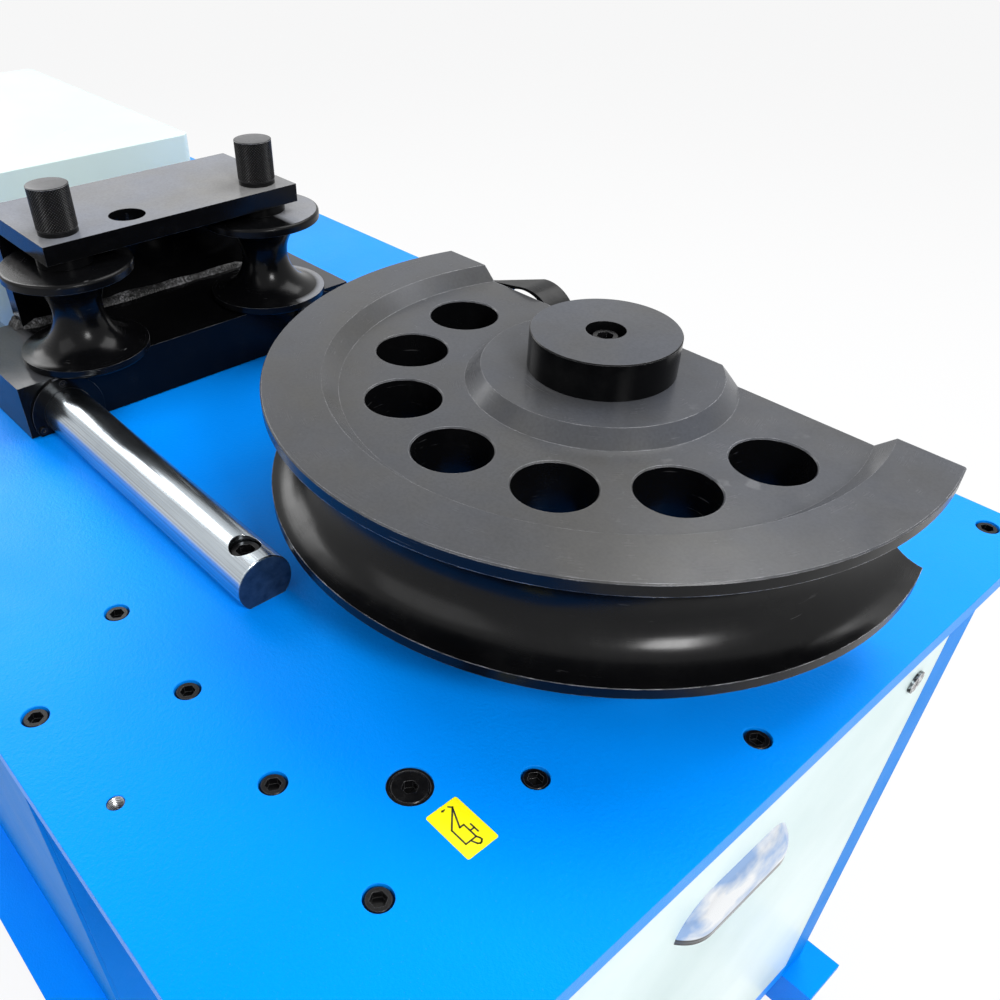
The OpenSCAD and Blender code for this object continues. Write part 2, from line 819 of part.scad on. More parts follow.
// Half section of the former: rim, groove, dished web and hub
module former_section() {
  difference() {
    polygon([[0, 0], [hub_r, 0], [hub_r + hub_slope, web_depth],
      [bend_r - rim_land - recess_slope, web_depth], [bend_r - rim_land, 0], [bend_r - rim_bevel, 0],
      [bend_r, rim_bevel], [bend_r, former_h - rim_bevel], [bend_r - rim_bevel, former_h],
      [bend_r - rim_land, former_h],
      [bend_r - rim_land - recess_slope, former_h - web_depth], [hub_r + hub_slope, former_h - web_depth],
      [hub_r, former_h], [0, former_h]]);
    translate([bend_r, former_h / 2]) circle(r = groove_r);
  }
}

// Lightening hole with both rims of the web chamfered
module light_hole() {
  r = light_hole_d / 2;
  wide_r = r + light_hole_bevel + cut;
  translate([0, 0, -cut]) cylinder(r = r, h = former_h + 2 * cut);
  translate([0, 0, web_depth - cut]) cylinder(r1 = wide_r, r2 = r, h = light_hole_bevel + cut);
  translate([0, 0, former_h - web_depth - light_hole_bevel])
    cylinder(r1 = r, r2 = wide_r, h = light_hole_bevel + cut);
}

module bending_former() {
  color([0.24, 0.24, 0.26]) translate([former_x, former_y, former_z]) difference() {
    union() {
      difference() {
        rotate_extrude() former_section();
        translate([-bend_r - cut, flat_offset, -cut])
          cube([2 * bend_r + 2 * cut, bend_r, former_h + 2 * cut]);
      }
      for (z = [-lug_top, lug_low]) translate([lug_x, flat_offset, former_h / 2 + z]) {
        translate([-lug_r, -lug_root, 0]) cube([2 * lug_r, lug_root + lug_out, lug_top - lug_low]);
        translate([0, lug_out, 0]) cylinder(r = lug_r, h = lug_top - lug_low);
      }
    }
    translate([0, 0, -cut]) cylinder(r = spindle_r + seat_clear, h = former_h + 2 * cut);
    translate([-key_w / 2 - seat_clear, 0, -cut])
      cube([key_w + 2 * seat_clear, spindle_r + key_h - key_sunk + seat_clear, former_h + 2 * cut]);
    for (i = [0:light_holes - 1]) rotate([0, 0, 180 + i * light_hole_step])
      translate([light_hole_pitch_r, 0, 0]) light_hole();
    translate([lug_x, flat_offset + lug_out, former_h / 2 - lug_top - cut])
      cylinder(r = hook_pin_r + seat_clear, h = 2 * lug_top + 2 * cut);
  }
}

module hook_pin() {
  color([0.6, 0.6, 0.62]) translate([former_x + lug_x, former_y + flat_offset + lug_out, tube_z]) {
    translate([0, 0, -lug_top]) cylinder(r = hook_pin_r, h = 2 * lug_top);
    for (z = [-lug_top - hook_pin_head_h, lug_top])
      translate([0, 0, z]) cylinder(r = hook_pin_head_r, h = hook_pin_head_h);
  }
}

// Side outline of the tube hook about its pin, its round nose to the right
module hook_outline() {
  nose_r = groove_r + hook_wall;
  x = hook_ring_x + hook_nose;
  t = hook_slope;
  left_h = (nose_r - (x - hook_left) * sin(t)) / cos(t);
  difference() {
    union() {
      translate([x, 0]) circle(r = nose_r);
      polygon([[x - nose_r * sin(t), nose_r * cos(t)], [hook_left, left_h], [hook_left, -left_h],
        [x - nose_r * sin(t), -nose_r * cos(t)], [x, -nose_r * cos(t)], [x, nose_r * cos(t)]]);
    }
    translate([hook_ring_x, 0]) circle(r = groove_r);
  }
}

module hook_clamp() {
  low_y = -lug_out + hook_gap;
  cut_x = hook_ring_x - hook_cut_end;
  color([0.3, 0.31, 0.34]) translate([former_x + lug_x, former_y + flat_offset + lug_out, tube_z])
    difference() {
    union() {
      difference() {
        translate([0, low_y + hook_w, 0]) rotate([90, 0, 0]) linear_extrude(hook_w) hook_outline();
        for (z = [-former_h, eye_h / 2]) translate([0, 0, z]) linear_extrude(former_h - eye_h / 2)
          polygon([[cut_x, low_y + hook_w + cut], [cut_x, low_y + hook_w],
            [cut_x - hook_cut, low_y], [-hook_w, low_y], [-hook_w, low_y + hook_w + cut]]);
      }
      translate([0, 0, -eye_h / 2]) cylinder(r = eye_r, h = eye_h);
      translate([0, -eye_r, -eye_h / 2]) cube([hook_left + cut, 2 * eye_r, eye_h]);
    }
    translate([0, 0, -eye_h]) cylinder(r = hook_pin_r + run_clear, h = 2 * eye_h);
  }
}

module spindle() {
  top = former_z + former_h - spindle_short;
  color([0.55, 0.56, 0.58]) translate([former_x, former_y, 0]) difference() {
    union() {
      translate([0, 0, spindle_low]) cylinder(r = spindle_r, h = top - spindle_low);
      translate([0, 0, former_z - collar_t]) cylinder(r = collar_r, h = collar_t);
    }
    translate([0, 0, top - m14_l]) cylinder(r = m14_shank_r + seat_clear, h = m14_l + cut);
    translate([-key_w / 2, spindle_r - key_sunk, top - former_key_l - key_end])
      cube([key_w, key_sunk + cut, former_key_l]);
    translate([-key_w / 2, spindle_r - key_sunk, pinion_z + (gear_w - pinion_key_l) / 2])
      cube([key_w, key_sunk + cut, pinion_key_l]);
  }
}

module spindle_keys() {
  top = former_z + former_h - spindle_short;
  w = key_w - 2 * seat_clear;
  h = key_h - 2 * seat_clear;
  color([0.5, 0.5, 0.52]) translate([former_x - w / 2, former_y + spindle_r - key_sunk + seat_clear, 0]) {
    translate([0, 0, top - former_key_l - key_end]) cube([w, h, former_key_l]);
    translate([0, 0, pinion_z + (gear_w - pinion_key_l) / 2]) cube([w, h, pinion_key_l]);
  }
}

// Involute tooth: half angle of the tooth at radius r
base_r = pinion_r * cos(pressure_angle);
function inv(a) = tan(a) * 180 / PI - a;
function tooth_half(r) = 90 / pinion_teeth - backlash / 2 / pinion_r * 180 / PI + inv(pressure_angle)
  - inv(acos(min(1, base_r / max(r, base_r))));
root_r = pinion_r - dedendum_share * gear_m;
tip_r = pinion_r + gear_m;
flank_steps = 6;
function flank_r() = [for (k = [0:flank_steps]) root_r + (tip_r - root_r) * k / flank_steps];

module pinion() {
  rs = flank_r();
  outline = [for (i = [0:pinion_teeth - 1]) for (s = [-1, 1]) for (k = [0:flank_steps])
    let (r = s < 0 ? rs[k] : rs[flank_steps - k], a = 90 + i * 360 / pinion_teeth + s * tooth_half(r))
    [r * cos(a), r * sin(a)]];
  color([0.5, 0.5, 0.53]) translate([former_x, former_y, pinion_z]) difference() {
    linear_extrude(gear_w) polygon(outline);
    translate([0, 0, -cut]) cylinder(r = spindle_r + seat_clear, h = gear_w + 2 * cut);
    translate([-key_w / 2 - seat_clear, 0, -cut])
      cube([key_w + 2 * seat_clear, spindle_r + key_h - key_sunk + seat_clear, gear_w + 2 * cut]);
  }
}

module spindle_nut() {
  color([0.4, 0.4, 0.42]) translate([former_x, former_y, pinion_z - nut_h]) difference() {
    cylinder(r = nut_r, h = nut_h);
    translate([0, 0, -cut]) cylinder(r = spindle_r + seat_clear, h = nut_h + 2 * cut);
    for (i = [0:nut_slots - 1]) rotate([0, 0, i * 360 / nut_slots])
      translate([nut_r - nut_slot_depth, -nut_slot_w / 2, -cut])
        cube([nut_slot_depth + cut, nut_slot_w, nut_h + 2 * cut]);
  }
}

module spindle_cap() {
  color([0.28, 0.28, 0.3]) translate([former_x, former_y, former_z + former_h]) difference() {
    union() {
      cylinder(r = cap_r, h = cap_h - cap_bevel);
      translate([0, 0, cap_h - cap_bevel]) cylinder(r1 = cap_r, r2 = cap_r - cap_bevel, h = cap_bevel);
    }
    translate([0, 0, cap_h - cap_bore_depth]) cylinder(r = cap_bore_r, h = cap_bore_depth + cut);
    translate([0, 0, -cut]) cylinder(r = m14_shank_r + seat_clear, h = cap_h);
  }
}

module cap_screw() {
  seat = former_z + former_h + cap_h - cap_bore_depth;
  color([0.12, 0.12, 0.13]) translate([former_x, former_y, seat])
    socket_screw(m14_head_r, m14_head_h, m14_shank_r, m14_l, m14_hex, m14_hex_depth);
}

module drive_rack() {
  teeth = floor((rack_right - rack_left) / rack_pitch);
  first = -rack_pitch * (floor(-rack_left / rack_pitch) - 0.5);
  line = pinion_r + mesh_clear;
  tip = line - gear_m;
  root = line + dedendum_share * gear_m;
  half = (rack_pitch / 2 - backlash) / 2;
  lean = tan(pressure_angle);
  color([0.5, 0.5, 0.53]) translate([former_x, former_y, pinion_z]) linear_extrude(gear_w) {
    translate([rack_left, root]) square([rack_right - rack_left, rack_body_w - mesh_clear]);
    for (i = [0:teeth - 1]) translate([first + i * rack_pitch, 0]) polygon([
      [-half - dedendum_share * gear_m * lean, root + cut], [-half - dedendum_share * gear_m * lean, root],
      [-half + gear_m * lean, tip], [half - gear_m * lean, tip],
      [half + dedendum_share * gear_m * lean, root], [half + dedendum_share * gear_m * lean, root + cut]]);
  }
}

module drive_piston_rod() {
  left = former_x + rack_left;
  back = drive_head_x - drive_len + drive_back_t + drive_end_gap;
  color([0.75, 0.77, 0.8]) translate([back, drive_y, drive_z]) rotate([0, 90, 0]) {
    cylinder(r = drive_r - run_clear, h = drive_piston_w);
    cylinder(r = drive_rod_r, h = left - back);
  }
}

module carriage_block() {
  bore = rod_d / 2 + bush_t + seat_clear;
  color([0.2, 0.2, 0.21]) difference() {
    translate([carriage_x - block_l, carriage_y - block_w / 2, table_h + block_low])
      cube([block_l, block_w, block_h - block_low]);
    for (y = rod_y) translate([carriage_x - block_l - cut, y, rod_z]) rotate([0, 90, 0])
      cylinder(r = bore, h = block_l + 2 * cut);
    for (s = [-1, 1]) translate([roller_x, carriage_y + s * roller_pitch / 2, table_h + block_h - pin_depth])
      cylinder(r = pin_d / 2 + run_clear, h = pin_depth + cut);
  }
}

module carriage_web() {
  color([0.2, 0.2, 0.21])
    translate([carriage_x - block_l, carriage_y - plate_w / 2, table_h + block_h])
      cube([web_t, plate_w, plate_z - table_h - block_h]);
}

module carriage_top_plate() {
  color([0.42, 0.42, 0.44]) difference() {
    translate([carriage_x - block_l, carriage_y - plate_w / 2, plate_z]) cube([block_l, plate_w, plate_t]);
    for (y = [-roller_pitch / 2, roller_pitch / 2, spare_hole_off])
      translate([roller_x, carriage_y + y, plate_z - cut])
        cylinder(r = pin_d / 2 + run_clear, h = plate_t + 2 * cut);
  }
}

module rod_bushes() {
  color([0.72, 0.55, 0.3]) for (y = rod_y, x = [carriage_x - block_l, carriage_x - bush_l]) difference() {
    translate([x, y, rod_z]) rotate([0, 90, 0]) cylinder(r = rod_d / 2 + bush_t, h = bush_l);
    translate([x - cut, y, rod_z]) rotate([0, 90, 0])
      cylinder(r = rod_d / 2 + run_clear, h = bush_l + 2 * cut);
    translate([x - cut, y - rod_d, table_h + block_low - rod_d]) cube([bush_l + 2 * cut, 2 * rod_d, rod_d]);
  }
}

module wiper_rings() {
  color([0.16, 0.16, 0.17]) for (y = rod_y) difference() {
    translate([carriage_x, y, rod_z]) rotate([0, 90, 0]) cylinder(r = ring_r, h = ring_t);
    translate([carriage_x - cut, y, rod_z]) rotate([0, 90, 0])
      cylinder(r = rod_d / 2 + body_clear, h = ring_t + 2 * cut);
    translate([carriage_x - cut, y - 2 * rod_d, table_h + block_low - 2 * rod_d])
      cube([ring_t + 2 * cut, 4 * rod_d, 2 * rod_d]);
  }
}

module wiper_screws() {
  color([0.1, 0.1, 0.11]) for (y = rod_y, a = ring_screw_angles)
    translate([carriage_x + ring_t, y + ring_screw_pitch_r * cos(a), rod_z + ring_screw_pitch_r * sin(a)])
      rotate([0, 90, 0]) difference() {
        cylinder(r = ring_screw_r, h = ring_screw_h);
        translate([0, 0, ring_screw_h / 2]) cylinder(d = ring_hex, h = ring_screw_h, $fn = 6);
      }
}

module push_piston_rod() {
  back = push_front_x - push_len + push_end_gap;
  front = carriage_x - block_l;
  color([0.75, 0.77, 0.8]) translate([back, carriage_y, push_z]) rotate([0, 90, 0]) {
    cylinder(r = push_r - run_clear, h = push_piston_w);
    cylinder(r = push_rod_r, h = front - back);
    translate([0, 0, front - back - push_flange_t]) cylinder(r = push_flange_r, h = push_flange_t);
  }
}

module roller_spacers() {
  low = table_h + block_h;
  color([0.35, 0.35, 0.37]) for (s = [-1, 1]) translate([roller_x, carriage_y + s * roller_pitch / 2, 0]) {
    difference() {
      translate([0, 0, low]) cylinder(r = lower_washer_r, h = roller_z - low - body_clear);
      translate([0, 0, low - cut]) cylinder(r = pin_d / 2 + body_clear, h = roller_z);
    }
    difference() {
      translate([0, 0, roller_z + roller_h + body_clear])
        cylinder(r = spacer_r, h = plate_z - roller_z - roller_h - body_clear);
      translate([0, 0, roller_z]) cylinder(r = pin_d / 2 + body_clear, h = 2 * roller_h);
    }
  }
}

// Grooved roller turning on its pin, on side s of the carriage's centre line
module roller(s) {
  bore = pin_d / 2 + run_clear;
  core = roller_r - roller_lip - bore;
  color([0.22, 0.22, 0.24]) translate([roller_x, carriage_y + s * roller_pitch / 2, roller_z])
    rotate_extrude() difference() {
      union() {
        translate([bore, 0]) square([core, roller_h]);
        translate([bore, roller_lip]) square([core + roller_lip, roller_h - 2 * roller_lip]);
        for (z = [roller_lip, roller_h - roller_lip]) translate([roller_r - roller_lip, z])
          circle(r = roller_lip);
      }
      translate([roller_r, roller_h / 2]) circle(r = groove_r);
    }
}

module roller_left() {
  roller(-1);
}

module roller_right() {
  roller(1);
}

// Lift-out pin with a round head
module lift_pin(s) {
  seat = plate_z + plate_t;
  low = table_h + block_h - pin_depth;
  color([0.13, 0.13, 0.14]) translate([roller_x, carriage_y + s * roller_pitch / 2, 0]) {
    translate([0, 0, low]) cylinder(r = pin_d / 2, h = seat - low + cut);
    translate([0, 0, seat + body_clear]) cylinder(r = pin_foot_r, h = pin_foot_h);
    translate([0, 0, seat + pin_foot_h])
      cylinder(r = pin_head_d / 2, h = pin_head_h - pin_foot_h - pin_crown_h);
    translate([0, 0, seat + pin_head_h - pin_crown_h])
      cylinder(r1 = pin_head_d / 2, r2 = pin_head_d / 2 - pin_crown_h, h = pin_crown_h);
  }
}

module pin_left() {
  lift_pin(-1);
}

module pin_right() {
  lift_pin(1);
}

door_h = under_table - door_head_gap - door_low;

// Shell shape on the door, pulled in by g, its flat back on the door and its foot at z 0
module handle_form(g) {
  half = handle_l / 2;
  end_y = half - sqrt(2 * handle_end_r * handle_out - handle_out * handle_out);
  past = g > 0 ? cut : 0;
  low = -past;
  intersection() {
    translate([0, 0, low]) linear_extrude(handle_h - g - low) {
      translate([-past, -end_y]) square([handle_out - g + past, 2 * end_y]);
      for (y = [-end_y, end_y]) translate([handle_out - handle_end_r, y]) circle(r = handle_end_r - g);
    }
    translate([0, half, 0]) rotate([90, 0, 0]) linear_extrude(handle_l) intersection() {
      translate([-past, low]) square([handle_out - g + past, handle_h - g - low]);
      union() {
        translate([0, handle_h - handle_out]) circle(r = handle_out - g);
        translate([-past, low]) square([handle_out + past, handle_h - handle_out - low]);
      }
    }
    translate([-past, 0, 0]) rotate([90, 0, 90]) linear_extrude(handle_out + past) {
      translate([-half, low]) square([handle_l, handle_h - handle_corner - low]);
      translate([handle_corner - half, low])
        square([handle_l - 2 * handle_corner, handle_h - g - low]);
      for (y = [handle_corner - half, half - handle_corner])
        translate([y, handle_h - handle_corner]) circle(r = handle_corner - g);
    }
  }
}

module door_panel() {
  color([0.88, 0.94, 0.91]) difference() {
    translate([front_x - door_t, -door_w / 2, door_low]) cube([door_t, door_w, door_h]);
    translate([front_x - door_t - cut, -door_w / 2 + door_skin, door_low + door_skin])
      cube([door_t - door_skin + cut, door_w - 2 * door_skin, door_h - 2 * door_skin]);
    translate([front_x - door_t, lock_y, lock_z]) rotate([0, 90, 0])
      cylinder(r = lock_body_r + run_clear, h = door_t + cut);
  }
}

module door_handle() {
  color([0.85, 0.87, 0.9]) translate([front_x, handle_y, handle_z]) difference() {
    handle_form(0);
    handle_form(handle_wall);
  }
}

module door_lock() {
  tongue_x = front_x - door_t - door_gap - strike_t - strike_in - tongue_gap - lock_tongue_t;
  color([0.85, 0.87, 0.9]) {
    translate([front_x + body_clear, lock_y, lock_z]) rotate([0, 90, 0]) difference() {
      cylinder(r = lock_d / 2, h = lock_cap_t);
      translate([-lock_slot_l / 2, -lock_slot_w / 2, lock_cap_t / 2])
        cube([lock_slot_l, lock_slot_w, lock_cap_t]);
    }
    translate([tongue_x, lock_y, lock_z]) rotate([0, 90, 0])
      cylinder(r = lock_body_r, h = front_x + body_clear - tongue_x + cut);
    translate([tongue_x, lock_y - lock_tongue_w / 2, lock_z - lock_tongue_l])
      cube([lock_tongue_t, lock_tongue_w, lock_tongue_l]);
  }
}

table_plate();
table_screws();
oil_plug();
cabinet_posts();
cabinet_rails();
front_side_panels();
rear_side_panels();
rear_end_panel();
step_panels();
floor_pan();
skid_angles();
front_feet();
cylinder_cover();
push_cylinder();
push_cylinder_mounts();
guide_rods();
rod_screws();
bearing_housing();
housing_bolts();
spindle_bearings();
drive_cylinder();
drive_cylinder_head();
rack_guide();
oil_tank();
tank_lid();
pump_motor();
oil_pump();
valve_block();
hinge_frame_halves();
lock_strike();
bending_former();
spindle();
spindle_keys();
pinion();
spindle_nut();
spindle_cap();
cap_screw();
hook_pin();
hook_clamp();
drive_rack();
drive_piston_rod();
carriage_block();
carriage_web();
carriage_top_plate();
rod_bushes();
wiper_rings();
wiper_screws();
push_piston_rod();
roller_spacers();
roller_left();
roller_right();
pin_left();
pin_right();
door_panel();
door_handle();
hinge_door_halves();
door_lock();
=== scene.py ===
"""Looks of the hydraulic tube bender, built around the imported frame."""

import json
import math
import random

import bmesh
import bpy
from mathutils import Matrix, Vector


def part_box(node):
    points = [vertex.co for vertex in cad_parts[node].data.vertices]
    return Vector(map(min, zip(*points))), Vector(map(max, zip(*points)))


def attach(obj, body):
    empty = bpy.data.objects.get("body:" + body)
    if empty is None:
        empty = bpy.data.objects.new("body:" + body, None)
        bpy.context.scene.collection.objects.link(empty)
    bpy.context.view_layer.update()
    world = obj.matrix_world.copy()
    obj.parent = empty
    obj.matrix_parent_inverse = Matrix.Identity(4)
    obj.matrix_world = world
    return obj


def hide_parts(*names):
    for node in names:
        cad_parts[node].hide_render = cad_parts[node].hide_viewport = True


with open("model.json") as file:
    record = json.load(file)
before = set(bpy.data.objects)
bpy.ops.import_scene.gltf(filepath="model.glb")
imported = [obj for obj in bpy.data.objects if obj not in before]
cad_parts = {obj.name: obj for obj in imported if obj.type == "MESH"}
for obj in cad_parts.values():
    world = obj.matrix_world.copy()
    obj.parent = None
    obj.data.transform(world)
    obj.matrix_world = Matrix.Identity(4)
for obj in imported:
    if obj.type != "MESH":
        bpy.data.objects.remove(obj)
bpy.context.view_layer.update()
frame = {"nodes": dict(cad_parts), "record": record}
MM = 0.001

# Camera
CAM_PLACE = (0.884, -0.442, 1.165)
CAM_RIGHT = (0.6563, 0.7545, 0.0)
CAM_UP = (-0.4846, 0.4215, 0.7664)
CAM_BACK = (0.5783, -0.5030, 0.6422)
CAM_SENSOR = 36.0
CAM_LENS = 33.581
CAM_SHIFT = (0.07337, 0.07665)
CAM_CLIP = (0.02, 60.0)


def make_camera():
    """The photograph's camera, solved from the table's edges, the former's holes and the rods."""
    data = bpy.data.cameras.new("camera")
    data.sensor_width = CAM_SENSOR
    data.lens = CAM_LENS
    data.shift_x, data.shift_y = CAM_SHIFT
    data.clip_start, data.clip_end = CAM_CLIP
    cam = bpy.data.objects.new("camera", data)
    turn = Matrix((CAM_RIGHT, CAM_UP, CAM_BACK)).transposed().to_4x4()
    cam.matrix_world = Matrix.Translation(CAM_PLACE) @ turn
    bpy.context.collection.objects.link(cam)
    bpy.context.scene.camera = cam


make_camera()
bpy.context.scene.view_settings.view_transform = "Standard"

# Node helpers. A noise is a scale in cells to the metre, or one for each axis, a detail and a roughness
BEVEL_SAMPLES = 4
RISING = (0.0, 1.0)
FALLING = (1.0, 0.0)


class Nodes:
    """A node tree with short ways to add nodes."""

    def __init__(self, tree):
        self.tree = tree

    def feed(self, socket, value):
        """Link the socket to a node's output, or write a number, a vector or a colour on it."""
        if isinstance(value, bpy.types.NodeSocket):
            self.tree.links.new(value, socket)
        elif socket.type == "RGBA":
            socket.default_value = (*value, 1.0)
        else:
            socket.default_value = value

    def add(self, kind, inputs=None, **values):
        """A new node with these values, and its inputs fed by name or number."""
        node = self.tree.nodes.new(kind)
        for key, value in values.items():
            setattr(node, key, value)
        for key, value in (inputs or {}).items():
            self.feed(node.inputs[key], value)
        return node

    def calc(self, kind, a, b=0.0):
        return self.add("ShaderNodeMath", {0: a, 1: b}, operation=kind).outputs[0]


class Paint(Nodes):
    """A material and its principled shader."""

    def __init__(self, name):
        self.mat = bpy.data.materials.new(name)
        self.mat.use_nodes = True
        super().__init__(self.mat.node_tree)
        self.shader = self.tree.nodes["Principled BSDF"]
        self.coord = self.add("ShaderNodeTexCoord").outputs["Object"]

    def mapped(self, scale=(1, 1, 1), turn=(0, 0, 0), place=(0, 0, 0)):
        """The object's own coordinates, scaled, turned and moved."""
        inputs = {"Vector": self.coord, "Scale": scale, "Rotation": turn, "Location": place}
        return self.add("ShaderNodeMapping", inputs).outputs["Vector"]

    def noise(self, kind, vector=None):
        """Noise with the same scale every way."""
        scale, detail, rough = kind
        inputs = {"Vector": vector or self.coord, "Scale": scale, "Detail": detail, "Roughness": rough}
        return self.add("ShaderNodeTexNoise", inputs).outputs["Fac"]

    def stretched(self, kind, turn=(0, 0, 0)):
        """Noise with its own scale along each axis, for lines and tool marks."""
        scales, detail, rough = kind
        return self.noise((1.0, detail, rough), self.mapped(scales, turn))

    def spread(self, fac, out, over=RISING):
        """The range over of a factor turned into the range out, and level beyond its ends."""
        inputs = {"Value": fac, "From Min": over[0], "From Max": over[1], "To Min": out[0], "To Max": out[1]}
        return self.add("ShaderNodeMapRange", inputs).outputs["Result"]

    def patches(self, kind, out, over=RISING):
        """A value that wanders through out as noise of that kind goes through over."""
        return self.spread(self.noise(kind), out, over)

    def ramp(self, fac, *stops):
        """Colours along the factor, each given with its place."""
        node = self.add("ShaderNodeValToRGB", {"Fac": fac})
        ends = node.color_ramp.elements
        while len(ends) < len(stops):
            ends.new(0.5)
        for end, (place, colour) in zip(ends, stops):
            end.position = place
            end.color = (*colour, 1.0)
        return node.outputs["Color"]

    def blend(self, fac, a, b, over=(0.3, 0.7)):
        """Colour a up to the first place and b from the second."""
        return self.ramp(fac, (over[0], a), (over[1], b))

    def mix(self, fac, a, b):
        return self.add("ShaderNodeMix", {0: fac, 6: a, 7: b}, data_type="RGBA").outputs[2]

    def both(self, a, b):
        """Two masks or values multiplied."""
        return self.calc("MULTIPLY", a, b)

    def axis(self, name, vector=None):
        """One coordinate of a vector, or of the object's own place where none is given."""
        return self.add("ShaderNodeSeparateXYZ", {0: vector or self.coord}).outputs[name]

    def radius(self, centre):
        """Distance from an upright axis at that place."""
        split = self.add("ShaderNodeSeparateXYZ", {0: self.mapped(place=(-centre[0], -centre[1], 0))})
        x, y = split.outputs["X"], split.outputs["Y"]
        return self.calc("SQRT", self.calc("ADD", self.both(x, x), self.both(y, y)))

    def softened(self, radius):
        """The normal, rounded near edges."""
        return self.add("ShaderNodeBevel", {"Radius": radius}, samples=BEVEL_SAMPLES).outputs["Normal"]

    def flat(self):
        """The normal as the mesh has it."""
        return self.add("ShaderNodeNewGeometry").outputs["Normal"]

    def edge(self, radius, low=0.02, high=0.25):
        """One on a sharp outer or inner edge and nought on a flat face."""
        dot = self.add("ShaderNodeVectorMath", {0: self.softened(radius), 1: self.flat()},
                       operation="DOT_PRODUCT")
        return self.spread(dot.outputs["Value"], FALLING, (1.0 - high, 1.0 - low))

    def bump(self, height, strength, distance, soft=0.0):
        """Relief from a height, over edges that look rounded by the soft radius."""
        inputs = {"Height": height, "Strength": strength, "Distance": distance}
        if soft:
            inputs["Normal"] = self.softened(soft)
        self.feed(self.shader.inputs["Normal"], self.add("ShaderNodeBump", inputs).outputs["Normal"])

    def finish(self, colour, rough, **even):
        """Join colour and roughness, set what is even all over, and give the material back."""
        self.feed(self.shader.inputs["Base Color"], colour)
        self.feed(self.shader.inputs["Roughness"], rough)
        for key, value in even.items():
            self.feed(self.shader.inputs[key.replace("_", " ")], value)
        return self.mat


def times(factor, colour):
    """A colour made darker or lighter."""
    return tuple(factor * c for c in colour)


# Enamels
DUST = (0.6, 0.65, 0.7)
DUST_SHARE = 0.04
ENAMEL_CLOUDS = (7.0, 4.0, 0.55)
DOOR_CLOUDS = (3.0, 4.0, 0.55)
ENAMEL_GRAIN = (420.0, 2.0, 0.55)
ENAMEL_SPECKS = (900.0, 1.0, 0.55)
ENAMEL_RUBS = (60.0, 4.0, 0.55)
ENAMEL_FILM = (18.0, 5.0, 0.55)
PEEL = (420.0, 3.0, 0.6)
PEEL_HEIGHT = 0.4 * MM
ENAMEL_EDGE_R = 1.0 * MM
ENAMEL_SOFT_R = 1.2 * MM
ENAMEL_WEAR_AND_HIGHLIGHT = 0.35


def enamel(name, colour, deep, rough, peel, gloss=0.2, gloss_tint=(1.0, 1.0, 1.0),
           clouds=ENAMEL_CLOUDS):
    """Sprayed enamel: slight mottling, orange peel, dust, and paler edges, as rubbed wear and painted
    highlight.
    """
    p = Paint(name)
    tint = p.blend(p.noise(clouds), deep, colour)
    tint = p.mix(p.patches(ENAMEL_GRAIN, (0.0, 0.09), (0.35, 0.75)), tint, deep)
    tint = p.mix(p.patches(ENAMEL_SPECKS, (0.0, DUST_SHARE), (0.70, 0.78)), tint, DUST)
    # Paler edges: rubbed wear and painted edge highlight
    rub = p.both(p.edge(ENAMEL_EDGE_R), p.patches(ENAMEL_RUBS, (0.3, 1.0), (0.35, 0.66)))
    pale_edge = tuple(min(1.0, c * 1.15 + 0.10) for c in colour)
    tint = p.mix(p.both(rub, ENAMEL_WEAR_AND_HIGHLIGHT), tint, pale_edge)
    p.bump(p.noise(PEEL), peel, PEEL_HEIGHT, ENAMEL_SOFT_R)
    film = p.patches(ENAMEL_FILM, (rough - 0.05, rough + 0.12))
    return p.finish(tint, film, Specular_IOR_Level=gloss, Specular_Tint=gloss_tint)


# Black steels
OXIDE_DEEP = (0.0014, 0.0015, 0.0018)
OXIDE = (0.0030, 0.0031, 0.0035)
OXIDE_OILY = (0.0060, 0.0060, 0.0062)
TOP_WARM_TINT = (0.98, 0.97, 0.95)
TOP_SKY_TINT = (0.92, 0.98, 1.14)
WEAR_AND_HIGHLIGHT_GREY = (1.0, 1.0, 1.05)
SCUFF_GREY = (0.30, 0.30, 0.31)
STEEL_CLOUDS = (11.0, 5.0, 0.6)
STEEL_SMEARS = (45.0, 6.0, 0.7)
STEEL_GRIT = (420.0, 3.0, 0.6)
STEEL_HUES = (6.0, 4.0, 0.6)
STEEL_RUBS = (55.0, 4.0, 0.55)
STEEL_FILM = (34.0, 6.0, 0.6)
SCUFF_SPOTS = (9.0, 3.0, 0.55)
SCUFF_LINES = ((30, 30, 420), 3.0, 0.6)
SCUFF_TURN = (0.25, 0.1, 0.0)
TOOL_LINES = ((30, 900, 30), 2.0, 0.5)
RING_LINES = (1.0, 2.0, 0.5)
LEVEL = (0.97, 0.995)
GENTLE_SLOPE = (0.6, 0.7)
TOOL_HEIGHT = 0.2 * MM
STEEL_SOFT_R = 0.7 * MM
WORN_R = 0.6 * MM
HEIGHT_STEP = 0.4 * MM
COVER_STEP = 4.0 * MM


def facing_up(p, over=LEVEL):
    """One on faces that look up, where the colour is made paler: dust, and in the black steels also painted
    light on tops.
    """
    return p.spread(p.axis("Z", p.flat()), RISING, over)


def above(p, height):
    """One over a height and nought under it."""
    return p.spread(p.axis("Z"), RISING, (height - HEIGHT_STEP, height))


def beyond(p, low, high):
    """One where y is under low or over high, and nought between them."""
    y = p.axis("Y")
    under = p.spread(y, FALLING, (low - COVER_STEP, low + COVER_STEP))
    over = p.spread(y, RISING, (high - COVER_STEP, high + COVER_STEP))
    return p.calc("MAXIMUM", under, over)


def ring_marks(p, centre, pitch):
    """Turning marks round an upright axis at that place."""
    join = p.add("ShaderNodeCombineXYZ", {0: p.both(p.radius(centre), 1.0 / pitch),
                                          1: p.both(p.axis("Z"), 1.0 / pitch)})
    return p.noise(RING_LINES, join.outputs[0])


